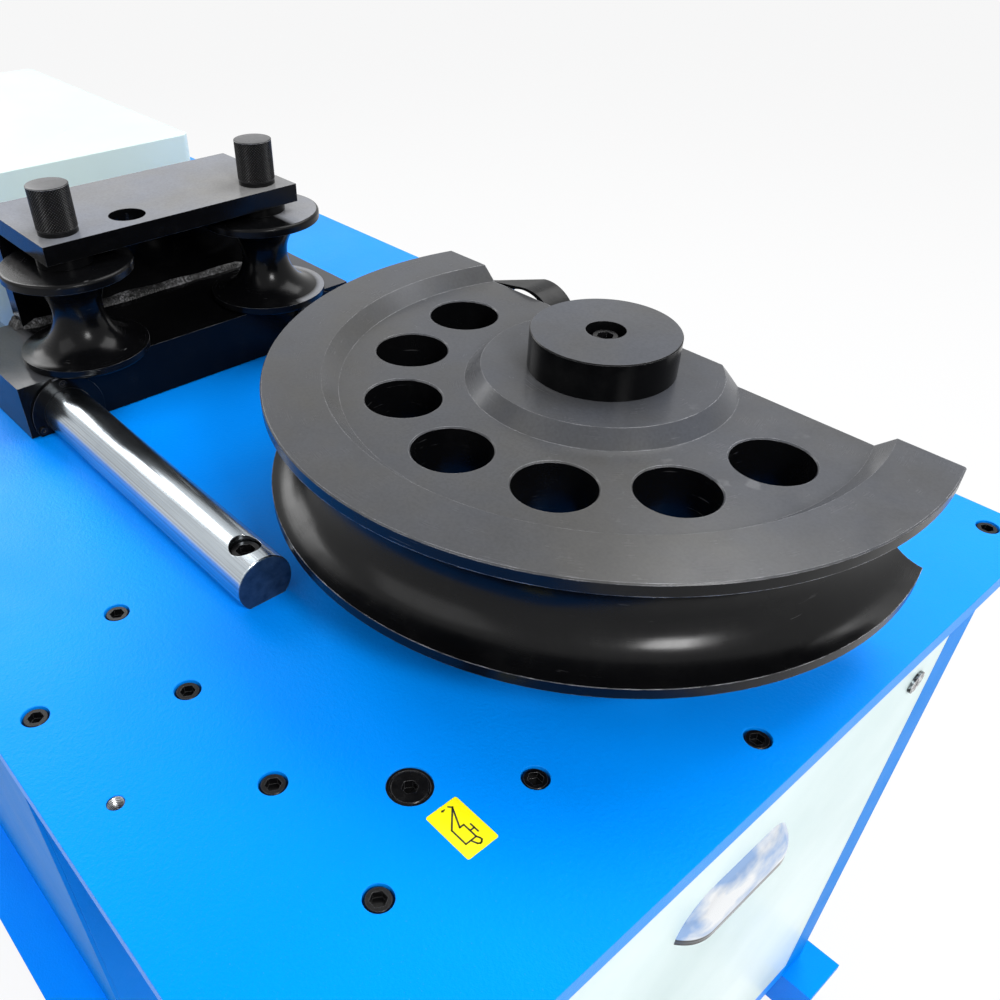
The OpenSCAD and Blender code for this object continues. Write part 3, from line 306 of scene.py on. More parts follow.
def black_steel(name, top, rough=0.2, gloss=0.12, turned=None, edge_wear_and_highlight=0.22, edge_wear_and_highlight_r=WORN_R, land=None,
                streaks=0.02, unshaded_y=None, scuffs=0.0):
    """Oiled black-oxide steel: tool marks, edges paler as wear and painted highlight, smears of oil,
    and paler tops, as dust and as painted light on up-facing faces.

    With turned, a centre and a pitch, the tool marks run round. With land, slopes over that height
    are paler too. Given two places in y, only what lies beyond them is paler; between them the
    tops stay dark as painted shade of the plate above.
    """
    p = Paint(name)
    cloud = p.noise(STEEL_CLOUDS)
    tint = p.blend(cloud, OXIDE_DEEP, OXIDE, (0.28, 0.74))
    tint = p.mix(p.patches(STEEL_SMEARS, (0.0, 0.6), (0.52, 0.74)), tint, OXIDE_OILY)
    # Paler tops: dust, and painted light where up-facing faces catch it
    dusty_and_lit = facing_up(p, GENTLE_SLOPE if land else LEVEL)
    dusty_and_lit = p.both(dusty_and_lit, p.spread(cloud, (0.84, 1.0), (0.3, 0.7)))
    dusty_and_lit = p.both(dusty_and_lit, p.patches(STEEL_GRIT, (0.88, 1.0), (0.35, 0.6)))
    if land:
        dusty_and_lit = p.both(dusty_and_lit, above(p, land))
    # Tops under the plate stay dark: painted shade of the plate
    if unshaded_y:
        dusty_and_lit = p.both(dusty_and_lit, beyond(p, *unshaded_y))
    # Colour of the pale tops; its bluish side is a painted reflection of the sky
    dust_and_top_light = p.blend(p.noise(STEEL_HUES), times(top, TOP_WARM_TINT), times(top, TOP_SKY_TINT), (0.36, 0.62))
    tint = p.mix(dusty_and_lit, tint, dust_and_top_light)
    if scuffs:
        line = p.spread(p.stretched(SCUFF_LINES, SCUFF_TURN), RISING, (0.66, 0.72))
        tint = p.mix(p.both(line, p.patches(SCUFF_SPOTS, (0.0, scuffs), (0.5, 0.62))), tint, SCUFF_GREY)
    # Paler edges: wear, and painted highlight where chamfers catch the light
    rub = p.both(p.edge(edge_wear_and_highlight_r, 0.05, 0.3), p.patches(STEEL_RUBS, (0.15, 1.0), (0.38, 0.6)))
    tint = p.mix(rub, tint, times(edge_wear_and_highlight, WEAR_AND_HIGHLIGHT_GREY))
    marks = ring_marks(p, *turned) if turned else p.stretched(TOOL_LINES)
    film = p.patches(STEEL_FILM, (rough - 0.04, rough + 0.07), (0.3, 0.7))
    film = p.calc("ADD", film, p.spread(marks, (-streaks, streaks), (0.3, 0.7)))
    p.bump(marks, 0.09, TOOL_HEIGHT, STEEL_SOFT_R)
    return p.finish(tint, film, Specular_IOR_Level=gloss)


SCREW_DEEP = (0.0015, 0.0015, 0.002)
SCREW_BLACK = (0.006, 0.006, 0.0065)
SCREW_WORN = (0.16, 0.16, 0.165)
SCREW_CLOUDS = (180.0, 4.0, 0.55)
SCREW_RUBS = (200.0, 3.0, 0.55)
SCREW_GRIT = (900.0, 3.0, 0.55)
SCREW_GRIT_HEIGHT = 0.2 * MM
SCREW_SOFT_R = 0.5 * MM
FINE_FILM = (90.0, 3.0, 0.55)


def screw_steel(name):
    """Blackened screws: dark, slightly oily, with worn rims."""
    p = Paint(name)
    tint = p.blend(p.noise(SCREW_CLOUDS), SCREW_DEEP, SCREW_BLACK, (0.3, 0.75))
    rub = p.both(p.edge(WORN_R), p.patches(SCREW_RUBS, (0.2, 0.9), (0.35, 0.65)))
    p.bump(p.noise(SCREW_GRIT), 0.15, SCREW_GRIT_HEIGHT, SCREW_SOFT_R)
    return p.finish(p.mix(rub, tint, SCREW_WORN), p.patches(FINE_FILM, (0.15, 0.35)), Specular_IOR_Level=0.2)


# Bright metals
BRIGHT_CLOUDS = (14.0, 4.0, 0.55)
BRIGHT_SMEARS = (60.0, 6.0, 0.7)
BRIGHT_FILM = (30.0, 5.0, 0.55)
BRIGHT_LINES = ((40, 2600, 2600), 2.0, 0.5)
BRIGHT_HEIGHT = 0.1 * MM
BRIGHT_SOFT_R = 0.6 * MM


def bright_steel(name, colour, rough):
    """Ground or polished bright metal, with fine lines and a few faint smears."""
    p = Paint(name)
    tint = p.blend(p.noise(BRIGHT_CLOUDS), times(0.82, colour), colour)
    tint = p.mix(p.patches(BRIGHT_SMEARS, (0.0, 0.35), (0.55, 0.75)), tint, times(0.7, colour))
    p.bump(p.stretched(BRIGHT_LINES), 0.05, BRIGHT_HEIGHT, BRIGHT_SOFT_R)
    return p.finish(tint, p.patches(BRIGHT_FILM, (rough - 0.05, rough + 0.1)), Metallic=1.0)


ROD_END_X = 376.6 * MM
ROD_EDGE_R = 0.9 * MM
ROD_CLOUDS = ((5, 90, 90), 4.0, 0.55)
ROD_LINES = ((1.5, 700, 700), 3.0, 0.6)
ROD_GRIND = ((30, 2200, 2200), 2.0, 0.5)
ROD_SMEARS = (50.0, 6.0, 0.7)
SAW_MARKS = (120.0, 4.0, 0.55)
ROD_DEEP = (0.40, 0.45, 0.49)
ROD_BRIGHT = (0.58, 0.63, 0.67)
ROD_SMEAR = (0.30, 0.34, 0.40)
ROD_LINE = (0.22, 0.235, 0.24)
ROD_EDGE_HIGHLIGHT = (0.80, 0.84, 0.88)
SAWN_REFLECTION_DEEP = (0.035, 0.06, 0.085)
SAWN_REFLECTION_BLUE = (0.07, 0.11, 0.15)


def rod_steel(name):
    """Hard-chromed guide rod, ground along its length, with a sawn end face painted dark blue as a reflection
    of the blue table, and a painted highlight round its edge.
    """
    p = Paint(name)
    face = p.calc("GREATER_THAN", p.axis("X"), ROD_END_X)
    tint = p.blend(p.stretched(ROD_CLOUDS), ROD_DEEP, ROD_BRIGHT)
    tint = p.mix(p.patches(ROD_SMEARS, (0.0, 0.3), (0.55, 0.75)), tint, ROD_SMEAR)
    tint = p.mix(p.spread(p.stretched(ROD_LINES), (0.0, 0.5), (0.45, 0.65)), tint, ROD_LINE)
    # End face: dark blue, a painted reflection of the blue table
    tint = p.mix(face, tint, p.blend(p.noise(SAW_MARKS), SAWN_REFLECTION_DEEP, SAWN_REFLECTION_BLUE))
    # Painted highlight round the end face's edge
    tint = p.mix(p.edge(ROD_EDGE_R, 0.1, 0.5), tint, ROD_EDGE_HIGHLIGHT)
    satin = p.calc("ADD", p.patches(BRIGHT_FILM, (0.16, 0.27)), p.both(face, 0.3))
    p.bump(p.stretched(ROD_GRIND), 0.06, BRIGHT_HEIGHT, BRIGHT_SOFT_R)
    return p.finish(tint, satin, Metallic=1.0)


LOCK_SLOT_SHADE = (0.02, 0.02, 0.022)
LOCK_DULL = (0.22, 0.23, 0.24)
LOCK_BRIGHT = (0.80, 0.82, 0.84)
LOCK_PITS = (210.0, 4.0, 0.6)
LOCK_PIT_DEPTH = 0.6 * MM


def lock_steel(name):
    """Chromed lock: dark patches painted as the shade of its key slot and recesses, between bright patches,
    with a pitted bump.
    """
    p = Paint(name)
    patch = p.noise(LOCK_PITS)
    # Dark patches: painted shade of the key slot and recesses
    tint = p.ramp(patch, (0.46, LOCK_SLOT_SHADE), (0.53, LOCK_DULL), (0.68, LOCK_BRIGHT))
    p.bump(patch, 0.4, LOCK_PIT_DEPTH)
    return p.finish(tint, p.patches(FINE_FILM, (0.08, 0.25)), Metallic=1.0)


# Materials of the CAD nodes
BLUE = (0.0, 0.275, 0.98)
BLUE_DEEP = (0.0, 0.255, 0.95)
# Darker, greyer copy of the same blue for panels and posts: painted shade
BLUE_SHADED = (0.0, 0.235, 0.76)
BLUE_SHADED_DEEP = (0.0, 0.215, 0.70)
BLUE_GLOSS = (0.0, 0.35, 1.0)
WHITE = (0.62, 0.755, 0.735)
WHITE_DEEP = (0.57, 0.70, 0.685)
DOOR_WHITE = (0.76, 0.88, 0.87)
DOOR_DEEP = (0.55, 0.69, 0.68)
MACHINE_BLACK = (0.02, 0.02, 0.022)
MACHINE_BLACK_DEEP = (0.014, 0.014, 0.015)
MOTOR_GREY = (0.11, 0.14, 0.16)
MOTOR_GREY_DEEP = (0.09, 0.11, 0.13)
STEEL = (0.42, 0.43, 0.45)
CHROME = (0.66, 0.68, 0.70)
BRONZE = (0.62, 0.40, 0.17)
VALVE_METAL = (0.5, 0.51, 0.53)

# For black_steel, the number after the name is how pale the tops are: dust and painted top light
MATS = {
    "blue_paint": enamel("blue enamel", BLUE, BLUE_DEEP, 0.36, 0.9, gloss=0.25, gloss_tint=BLUE_GLOSS),
    "white_paint": enamel("white enamel", WHITE, WHITE_DEEP, 0.28, 0.06, gloss=0.3),
    "black_oxide": black_steel("black oxide plates", 0.22, rough=0.14),
    "screw_black": screw_steel("blackened screws"),
    "machined_steel": bright_steel("machined steel", STEEL, 0.32),
    "chrome": bright_steel("hard chrome", CHROME, 0.16),
    "bronze": bright_steel("bronze", BRONZE, 0.3),
    "cast_black": enamel("black paint", MACHINE_BLACK, MACHINE_BLACK_DEEP, 0.35, 0.3),
    "motor_grey": enamel("motor grey paint", MOTOR_GREY, MOTOR_GREY_DEEP, 0.35, 0.2),
    "valve_metal": bright_steel("valve metal", VALVE_METAL, 0.35),
}

FORMER_AT = (0.47, 0.1)
FORMER_LAND = 0.8
FORMER_PITCH = 0.9 * MM
CAP_PITCH = 0.5 * MM
ROLLER_PITCH = 0.7 * MM
ROLLERS_AT = {"left": (-0.012, -0.124), "right": (-0.012, 0.098)}
# Past these y places tops are painted lit; between them they stay dark as painted shade of the plate
ROLLER_UNSHADED_Y = (-0.3, 0.1)
PLATE_Y = (-0.153, 0.127)
SHADED_BLUE_PARTS = ("cabinet_posts", "front_side_panels", "rear_side_panels", "step_panels", "rear_end_panel")

# For black_steel, the first number is how pale the tops are: dust and painted top light
OWN = {
    "bending_former": black_steel("former steel", 0.068, rough=0.22, gloss=0.18,
                                  # Wide, bright edges here: wear and painted edge highlight
                                  turned=(FORMER_AT, FORMER_PITCH), edge_wear_and_highlight=0.6, edge_wear_and_highlight_r=1.2 * MM,
                                  land=FORMER_LAND, scuffs=0.15),
    "spindle_cap": black_steel("cap steel", 0.08, turned=(FORMER_AT, CAP_PITCH)),
    "hook_clamp": black_steel("hook steel", 0.012, rough=0.3),
    "carriage_block": black_steel("block steel", 0.075, rough=0.14, unshaded_y=PLATE_Y),
    "guide_rods": rod_steel("guide rod steel"),
    "door_lock": lock_steel("lock chrome"),
    "door_panel": enamel("door enamel", DOOR_WHITE, DOOR_DEEP, 0.28, 0.06, gloss=0.3, clouds=DOOR_CLOUDS),
}
for side, centre in ROLLERS_AT.items():
    OWN["roller_" + side] = black_steel(side + " roller steel", 0.26, turned=(centre, ROLLER_PITCH),
                                        streaks=0.04, unshaded_y=ROLLER_UNSHADED_Y, scuffs=0.5)
# The same blue paint, darker: painted shade on panels and posts
shaded_blue_enamel = enamel("shaded blue enamel", BLUE_SHADED, BLUE_SHADED_DEEP, 0.45, 0.6, gloss=0.1,
                     gloss_tint=BLUE_GLOSS)
OWN.update(dict.fromkeys(SHADED_BLUE_PARTS, shaded_blue_enamel))


def dress_nodes():
    """Give each CAD node its own material, or else that of its slot."""
    slots = {s["node"]: s["material_slot"] for s in frame["record"]["subparts"]}
    for name, obj in frame["nodes"].items():
        obj.data.materials.clear()
        obj.data.materials.append(OWN.get(name) or MATS[slots[name]])


dress_nodes()

# Mesh helpers
CREASE = math.radians(32.0)


def mesh_piece(name, verts, faces, mat, smooth=False):
    """A new object; where it is smooth, edges sharper than the crease angle stay sharp."""
    mesh = bpy.data.meshes.new(name)
    mesh.from_pydata(verts, [], faces)
    mesh.update()
    mesh.materials.append(mat)
    if smooth:
        bm = bmesh.new()
        bm.from_mesh(mesh)
        for face in bm.faces:
            face.smooth = True
        for edge in bm.edges:
            edge.smooth = edge.calc_face_angle(0.0) < CREASE
        bm.to_mesh(mesh)
        bm.free()
    obj = bpy.data.objects.new(name, mesh)
    bpy.context.collection.objects.link(obj)
    return obj


def settle(obj, body):
    """The piece moves with the body."""
    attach(obj, body)


def ring_point(centre, radius, turn, z):
    """Point at an angle round an upright axis."""
    return centre[0] + radius * math.cos(turn), centre[1] + radius * math.sin(turn), z


def lathe(centre, profile, sides, verts, faces, closed=False):
    """Surface turned round an upright axis from radius and height points, added to the lists.

    A closed profile makes a ring, and an open one a surface from its first point to its last.
    """
    start, n = len(verts), len(profile)
    for i in range(sides):
        verts += [ring_point(centre, r, 2 * math.pi * i / sides, z) for r, z in profile]
    for i in range(sides):
        here, there = start + i * n, start + (i + 1) % sides * n
        for j in range(n if closed else n - 1):
            k = (j + 1) % n
            faces.append((here + j, there + j, there + k, here + k))


# Lift-out pins with knurled heads
PIN_HEAD = 44.0 * MM
PIN_FOOT = 4.0 * MM
PIN_FOOT_R = 19.0 * MM
PIN_SHANK_R = 18.0 * MM
PIN_CHAMFER = 1.0 * MM
PIN_EDGE = 1.2 * MM
PIN_EDGE_STEPS = 4
PIN_CROWN = 0.1 * MM
PIN_SIDES = 88
PIN_PITCH = 0.6 * MM
KNURL_TEETH = 44
KNURL_DEPTH = 0.95 * MM
KNURL_PLAIN = 1.2 * MM
KNURL_UNDER = 0.1 * MM
KNURL_FOOT_IN = 0.2 * MM
KNURL_TOP_IN = 0.05 * MM
PIN_RUBS = (300.0, 3.0, 0.55)
PIN_DUST = (160.0, 4.0, 0.55)
PIN_FILM = (120.0, 3.0, 0.55)
PIN_MARK_HEIGHT = 0.2 * MM
TIP_BAND = (0.35 * KNURL_DEPTH, 0.02 * MM)
TIP_BLACK = (0.0012, 0.0012, 0.0015)
TIP_WORN_AND_GLINT = (0.22, 0.22, 0.225)
CROWN_DARK = (0.03, 0.03, 0.032)
CROWN_GREY = (0.085, 0.086, 0.09)


def pin_steel(name, centre, radius):
    """Black knurled steel: oil and dirt in the grooves, tips paler, as rubbed wear and as painted highlight.
    """
    p = Paint(name)
    tip = p.spread(p.radius(centre), RISING, tuple(radius - depth for depth in TIP_BAND))
    tip = p.both(tip, p.patches(PIN_RUBS, (0.3, 1.0), (0.35, 0.6)))
    # Paler knurl tips: rubbed wear and painted highlight
    tint = p.mix(tip, TIP_BLACK, TIP_WORN_AND_GLINT)
    crown = p.mix(p.patches(PIN_DUST, (0.75, 1.0), (0.3, 0.7)), CROWN_DARK, CROWN_GREY)
    p.bump(ring_marks(p, centre, PIN_PITCH), 0.1, PIN_MARK_HEIGHT)
    return p.finish(p.mix(facing_up(p), tint, crown), p.patches(PIN_FILM, (0.22, 0.4)),
                    Specular_IOR_Level=0.2)


def knurl(centre, radius, low, high, verts, faces):
    """Crossed grooves as one four-sided point to a diamond, added to the lists."""
    rows = 2 * max(1, round((high - low) * KNURL_TEETH / (2 * math.pi * radius)))
    step = (high - low) / rows
    ends = 2 * KNURL_TEETH
    start = len(verts)
    for row in range(rows + 1):
        for u in range(ends):
            depth = KNURL_DEPTH if (u + row) % 2 == 0 else 0.0
            verts.append(ring_point(centre, radius - depth, math.pi * u / KNURL_TEETH, low + row * step))
    for row in range(rows + 1):
        ring = start + row * ends
        for u in range((row + 1) % 2, ends, 2):
            peak, left, right = ring + u, ring + (u - 1) % ends, ring + (u + 1) % ends
            if row < rows:
                faces += [(peak, right, peak + ends), (peak, peak + ends, left)]
            if row > 0:
                faces += [(peak, left, peak - ends), (peak, peak - ends, right)]


def lift_pin(side):
    """Lift-out pin with a knurled head, in place of the plain one."""
    node = "pin_" + side
    low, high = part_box(node)
    centre = ROLLERS_AT[side]
    radius = (high[0] - low[0]) / 2
    seat = high[2] - PIN_HEAD
    foot = seat + PIN_FOOT
    knurl_low, knurl_high = foot + KNURL_PLAIN, high[2] - PIN_EDGE
    groove = radius - KNURL_DEPTH
    verts, faces = [], []
    lathe(centre, [(0.0, low[2]), (PIN_SHANK_R - PIN_CHAMFER, low[2]), (PIN_SHANK_R, low[2] + PIN_CHAMFER),
                   (PIN_SHANK_R, seat), (PIN_FOOT_R, seat), (PIN_FOOT_R, foot), (groove, foot),
                   (radius - KNURL_FOOT_IN, knurl_low), (groove - KNURL_UNDER, knurl_low)],
          PIN_SIDES, verts, faces)
    knurl(centre, radius, knurl_low, knurl_high, verts, faces)
    top = [(groove - KNURL_UNDER, knurl_high), (radius - KNURL_TOP_IN, knurl_high)]
    for i in range(1, PIN_EDGE_STEPS + 1):
        a = i * math.pi / (2 * PIN_EDGE_STEPS)
        top.append((radius - PIN_EDGE * (1 - math.cos(a)), knurl_high + 0.8 * PIN_EDGE * math.sin(a)))
    top += [(radius * 0.5, high[2] - PIN_CROWN), (0.0, high[2])]
    lathe(centre, top, PIN_SIDES, verts, faces)
    pin = mesh_piece("lift_pin_" + side, verts, faces, pin_steel("pin steel " + side, centre, radius), True)
    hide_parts(node)
    settle(pin, side + "_pin")


for side in ROLLERS_AT:
    lift_pin(side)

# Weld beads at the foot of the web
WELD_STEP = 0.7 * MM
WELD_RIPPLE = 3.2 * MM
WELD_SIDES = 9
WELD_HOLLOW = 0.22
WELD_WAVE = 0.10
WELD_WAVE_BOW = 0.35
WELD_ROUGH = 0.05
WELD_SHAKE = 0.15 * MM
WELD_DARK = (0.003, 0.003, 0.003)
WELD_BARE = (0.20, 0.20, 0.21)
WELD_FLECKS = (330.0, 5.0, 0.75)
WELD_PATCHES = (38.0, 3.0, 0.55)
WELD_GRAIN = (700.0, 4.0, 0.7)
WELD_GRAIN_HEIGHT = 0.6 * MM
WELD_FILM = (200.0, 3.0, 0.55)
WEB_FRONT = -108.0 * MM
WEB_BACK = -128.0 * MM
BLOCK_TOP = 726.0 * MM
WEB_LOW_Y = -153.0 * MM
WEB_HIGH_Y = 127.0 * MM
BEAD_R = (9.0 * MM, 6.5 * MM)
END_BEAD_R = (8.0 * MM, 8.0 * MM)


def weld_steel(name):
    """Blacked weld metal: rough, its crests rubbed bare in broken spots."""
    p = Paint(name)
    fleck = p.blend(p.noise(WELD_FLECKS), WELD_DARK, WELD_BARE, (0.47, 0.56))
    tint = p.mix(p.patches(WELD_PATCHES, (0.05, 1.0), (0.43, 0.62)), WELD_DARK, fleck)
    p.bump(p.noise(WELD_GRAIN), 0.5, WELD_GRAIN_HEIGHT)
    return p.finish(tint, p.patches(WELD_FILM, (0.3, 0.6)), Specular_IOR_Level=0.4)


def weld(name, start, end, side, radii, seed, mat):
    """Lumpy bead between two points, in the corner between an upright face and the block's top."""
    rand = random.Random(seed)
    start, end, side = Vector(start), Vector(end), Vector(side)
    up = Vector((0, 0, 1))
    length = (end - start).length
    count = max(6, int(length / WELD_STEP))
    along = (end - start).normalized()
    ring = WELD_SIDES + 1
    verts, faces = [], []
    for j in range(count + 1):
        t = j / count
        wave = t * length / WELD_RIPPLE
        wander = 0.9 + 0.12 * math.sin(t * 9.0 + seed) + 0.07 * math.sin(t * 31.0)
        fade = min(1.0, 0.3 + 14 * min(t, 1 - t))
        r = (radii[0] + (radii[1] - radii[0]) * t) * wander * fade
        for i in range(WELD_SIDES):
            a = i * (math.pi / 2) / (WELD_SIDES - 1)
            bow = math.sin(2 * a)
            ripple = WELD_WAVE * abs(math.sin((wave - WELD_WAVE_BOW * bow) * math.pi))
            ripple += rand.uniform(-WELD_ROUGH, WELD_ROUGH)
            k = r * (1.0 - WELD_HOLLOW * bow + ripple * (0.3 + bow))
            spot = start.lerp(end, t) + side * (k * math.cos(a)) + up * (k * math.sin(a))
            verts.append(tuple(spot + along * rand.uniform(-WELD_SHAKE, WELD_SHAKE)))
        verts.append(tuple(start.lerp(end, t)))
    for j in range(count):
        for i in range(ring):
            here, there = j * ring, (j + 1) * ring
            k = (i + 1) % ring
            faces.append((here + i, here + k, there + k, there + i))
    faces.append(tuple(range(ring))[::-1])
    faces.append(tuple(count * ring + i for i in range(ring)))
    settle(mesh_piece(name, verts, faces, mat, True), "carriage")


def web_welds():
    """A long bead in front of the web and a short one at each of its ends."""
    mat = weld_steel("weld steel")
    front_low, front_high = ((WEB_FRONT, y, BLOCK_TOP) for y in (WEB_LOW_Y, WEB_HIGH_Y))
    back_low, back_high = ((WEB_BACK, y, BLOCK_TOP) for y in (WEB_LOW_Y, WEB_HIGH_Y))
    weld("web_weld", front_low, front_high, (1, 0, 0), BEAD_R, 4, mat)
    weld("web_end_weld_left", back_low, front_low, (0, -1, 0), END_BEAD_R, 7, mat)
    weld("web_end_weld_right", back_high, front_high, (0, 1, 0), END_BEAD_R, 9, mat)


web_welds()

# Oil label on the table, with a plain oil can as its sign
TABLE_TOP = 670.0 * MM
LABEL_AT = (637.0 * MM, -198.0 * MM)
LABEL_SIZE = (40.0 * MM, 26.0 * MM)
LABEL_CORNER_R = 1.5 * MM
LABEL_CORNER_STEPS = 4
LABEL_LIFT = 0.25 * MM
SIGN_LIFT = 0.32 * MM
LABEL_YELLOW = (1.0, 0.93, 0.0)
LABEL_INK = (0.02, 0.02, 0.02)
PRINT_CLOUDS = (60.0, 3.0, 0.55)
PRINT_GRAIN = (700.0, 2.0, 0.55)
PRINT_GRAIN_HEIGHT = 0.2 * MM
PRINT_FILM = (80.0, 3.0, 0.55)

# Strokes of the sign, in millimetres from the label's middle
CAN = [(-15.0, 5.6), (-2.2, -6.5), (10.8, -6.5), (10.8, 2.2), (-0.6, 2.2), (-0.6, -1.2)]
SPOUT_LIP = [(-16.8, 3.8), (-15.0, 5.6)]
GRIP = [(10.8, 2.2), (13.0, 3.3), (14.6, 3.5), (15.8, 2.0), (16.0, 0.7), (15.0, -0.6), (11.2, -2.3)]
STEM = [(5.2, 2.2), (5.2, 5.8)]
KNOB = [(2.0, 5.8), (8.6, 5.8)]
DROP = [(-16.7, 0.6), (-17.1, -0.6), (-17.3, -1.4), (-16.7, -2.2), (-16.1, -1.4), (-16.3, -0.6)]
STROKE = 1.15
KNOB_STROKE = 1.2
DROP_STROKE = 0.5


def flat_paint(name, colour, rough):
    """Printed film, slightly uneven."""
    p = Paint(name)
    p.bump(p.noise(PRINT_GRAIN), 0.05, PRINT_GRAIN_HEIGHT)
    return p.finish(p.blend(p.noise(PRINT_CLOUDS), times(0.9, colour), colour),
                    p.patches(PRINT_FILM, (rough - 0.08, rough + 0.08)))


def label_point(x, y, z):
    """Point of the table's frame from one on the label, its height over the table given."""
    return LABEL_AT[0] + x, LABEL_AT[1] + y, TABLE_TOP + z


def label_plate():
    """Thin plate with rounded corners."""
    r = LABEL_CORNER_R
    x_in, y_in = LABEL_SIZE[0] / 2 - r, LABEL_SIZE[1] / 2 - r
    ring = []
    for corner, (x, y) in enumerate(((x_in, y_in), (-x_in, y_in), (-x_in, -y_in), (x_in, -y_in))):
        for i in range(LABEL_CORNER_STEPS + 1):
            a = math.radians(90.0 * (corner + i / LABEL_CORNER_STEPS))
            ring.append((x + r * math.cos(a), y + r * math.sin(a)))
    verts = [label_point(x, y, z) for z in (0.0, LABEL_LIFT) for x, y in ring]
    n = len(ring)
    faces = [tuple(range(n, 2 * n)), tuple(range(n))[::-1]]
    faces += [(i, (i + 1) % n, n + (i + 1) % n, n + i) for i in range(n)]
    obj = mesh_piece("oil_label", verts, faces, flat_paint("label yellow", LABEL_YELLOW, 0.35))
    settle(obj, "frame")


def ink_stroke(points, width, closed=False):
    """Flat ribbon through the points as quads."""
    quads = []
    half = width / 2
    for (x0, y0), (x1, y1) in zip(points, points[1:] + points[:1] if closed else points[1:]):
        length = math.hypot(x1 - x0, y1 - y0)
        ex, ey = (x1 - x0) / length * half, (y1 - y0) / length * half
        quads.append([(x0 - ex - ey, y0 - ey + ex), (x0 - ex + ey, y0 - ey - ex),
                      (x1 + ex + ey, y1 + ey - ex), (x1 + ex - ey, y1 + ey + ex)])
    return quads


def label_sign():
    """Plain sign for oiling: an oil can with a long spout, a pump knob, a grip and a drop."""
    quads = ink_stroke(CAN, STROKE, True) + ink_stroke(SPOUT_LIP, STROKE) + ink_stroke(GRIP, STROKE)
    quads += ink_stroke(STEM, STROKE) + ink_stroke(KNOB, KNOB_STROKE) + ink_stroke(DROP, DROP_STROKE, True)
    quads.append(DROP)
    verts, faces = [], []
    for quad in quads:
        faces.append(tuple(range(len(verts), len(verts) + len(quad))))
        verts += [label_point(x * MM, y * MM, SIGN_LIFT) for x, y in quad]
    obj = mesh_piece("oil_label_sign", verts, faces, flat_paint("label ink", LABEL_INK, 0.45))
    settle(obj, "frame")


label_plate()
label_sign()

# Thread in the spare tapped hole
TAP_AT = (477.75 * MM, -352.914 * MM)
TAP_R = 5.95 * MM
TAP_LOW = 0.3 * MM
TAP_DEEP = 17.0 * MM
TAP_PITCH = 1.75 * MM
TAP_TOOTH = 0.75 * MM
TAP_STEPS = 10
TAP_SIDES = 48
THREAD_CREST = (0.75, 0.77, 0.80)
THREAD_ROOT = (0.015, 0.017, 0.02)
THREAD_FILM = (300.0, 2.0, 0.55)
ROOT_BAND = (0.8 * TAP_TOOTH, 0.35 * TAP_TOOTH)


def thread_steel(name):
    """Cut thread: crests bright, roots dark."""
    p = Paint(name)
    root = p.spread(p.radius(TAP_AT), RISING, tuple(TAP_R - depth for depth in ROOT_BAND))
    return p.finish(p.mix(root, THREAD_CREST, THREAD_ROOT), p.patches(THREAD_FILM, (0.2, 0.4)), Metallic=0.85)


def tapped_thread():
    """Screw thread as a thin sleeve on the hole's wall."""
    rows = int(TAP_DEEP / TAP_PITCH * TAP_STEPS)
    verts, faces = [], []
    for j in range(rows + 1):
        for i in range(TAP_SIDES):
            share = i / TAP_SIDES
            phase = (j / TAP_STEPS + share) % 1.0
            r = TAP_R - TAP_TOOTH * (1.0 - abs(2.0 * phase - 1.0))
            z = TABLE_TOP - TAP_LOW - TAP_DEEP * j / rows
            verts.append(ring_point(TAP_AT, r, 2 * math.pi * share, z))
    for j in range(rows):
        here, there = j * TAP_SIDES, (j + 1) * TAP_SIDES
        for i in range(TAP_SIDES):
            k = (i + 1) % TAP_SIDES
            faces.append((here + i, there + i, there + k, here + k))
    settle(mesh_piece("tapped_thread", verts, faces, thread_steel("thread steel")), "frame")


tapped_thread()

# Seal in the oil plug's recess
PLUG_AT = (591.45 * MM, -202.002 * MM)
SEAL_IN = 13.3 * MM
SEAL_OUT = 15.95 * MM
SEAL_LOW = 2.2 * MM
SEAL_R = 1.2 * MM
SEAL_BEVEL = (0.4 * MM, 0.5 * MM)
SEAL_SIDES = 72


def plug_seal():
    """Bevelled ring between the plug's head and the wall of its recess."""
    foot = TABLE_TOP - SEAL_LOW - SEAL_R
    crown = TABLE_TOP - SEAL_LOW + SEAL_R
    inwards, down = SEAL_BEVEL
    section = [(SEAL_IN, foot), (SEAL_OUT, foot), (SEAL_OUT, crown - down),
               (SEAL_OUT - inwards, crown), (SEAL_IN + inwards, crown), (SEAL_IN, crown - down)]
    verts, faces = [], []
    lathe(PLUG_AT, section, SEAL_SIDES, verts, faces, closed=True)
    settle(mesh_piece("plug_seal", verts, faces, MATS["screw_black"], True), "frame")


plug_seal()

# Shell pull handle on the door
DOOR_FACE = 746.0 * MM
PULL_Y = -27.5 * MM
PULL_LOW = 554.0 * MM
PULL_HALF = 67.5 * MM
PULL_H = 36.0 * MM
PULL_OUT = 13.0 * MM
PULL_END_R = 32.0 * MM
PULL_CORNER = 34.0 * MM
PULL_LIP = 4.0 * MM
PULL_WALL = 1.7 * MM
PULL_LEAST_OUT = 0.05 * MM
PULL_LEAST_H = 0.5 * MM
PULL_COLS = 120
PULL_ROWS = 28
PULL_LIP_ROWS = 5
PULL_SKY_REFLECTION = ((60, 26, 50), 3.0, 0.5)
PULL_LIP_LINES = ((20, 9, 900), 2.0, 0.5)
PULL_SMUDGES = (80.0, 5.0, 0.55)
PULL_WAVES = (45.0, 2.0, 0.55)
PULL_WAVE_HEIGHT = 0.3 * MM
PULL_LIP_FADE = (2.0 * MM, 3.0 * MM)
PULL_REFLECTED_BLUE = (0.34, 0.50, 0.80)
PULL_REFLECTED_HAZE = (0.66, 0.74, 0.86)
PULL_REFLECTED_WHITE = (0.90, 0.92, 0.94)
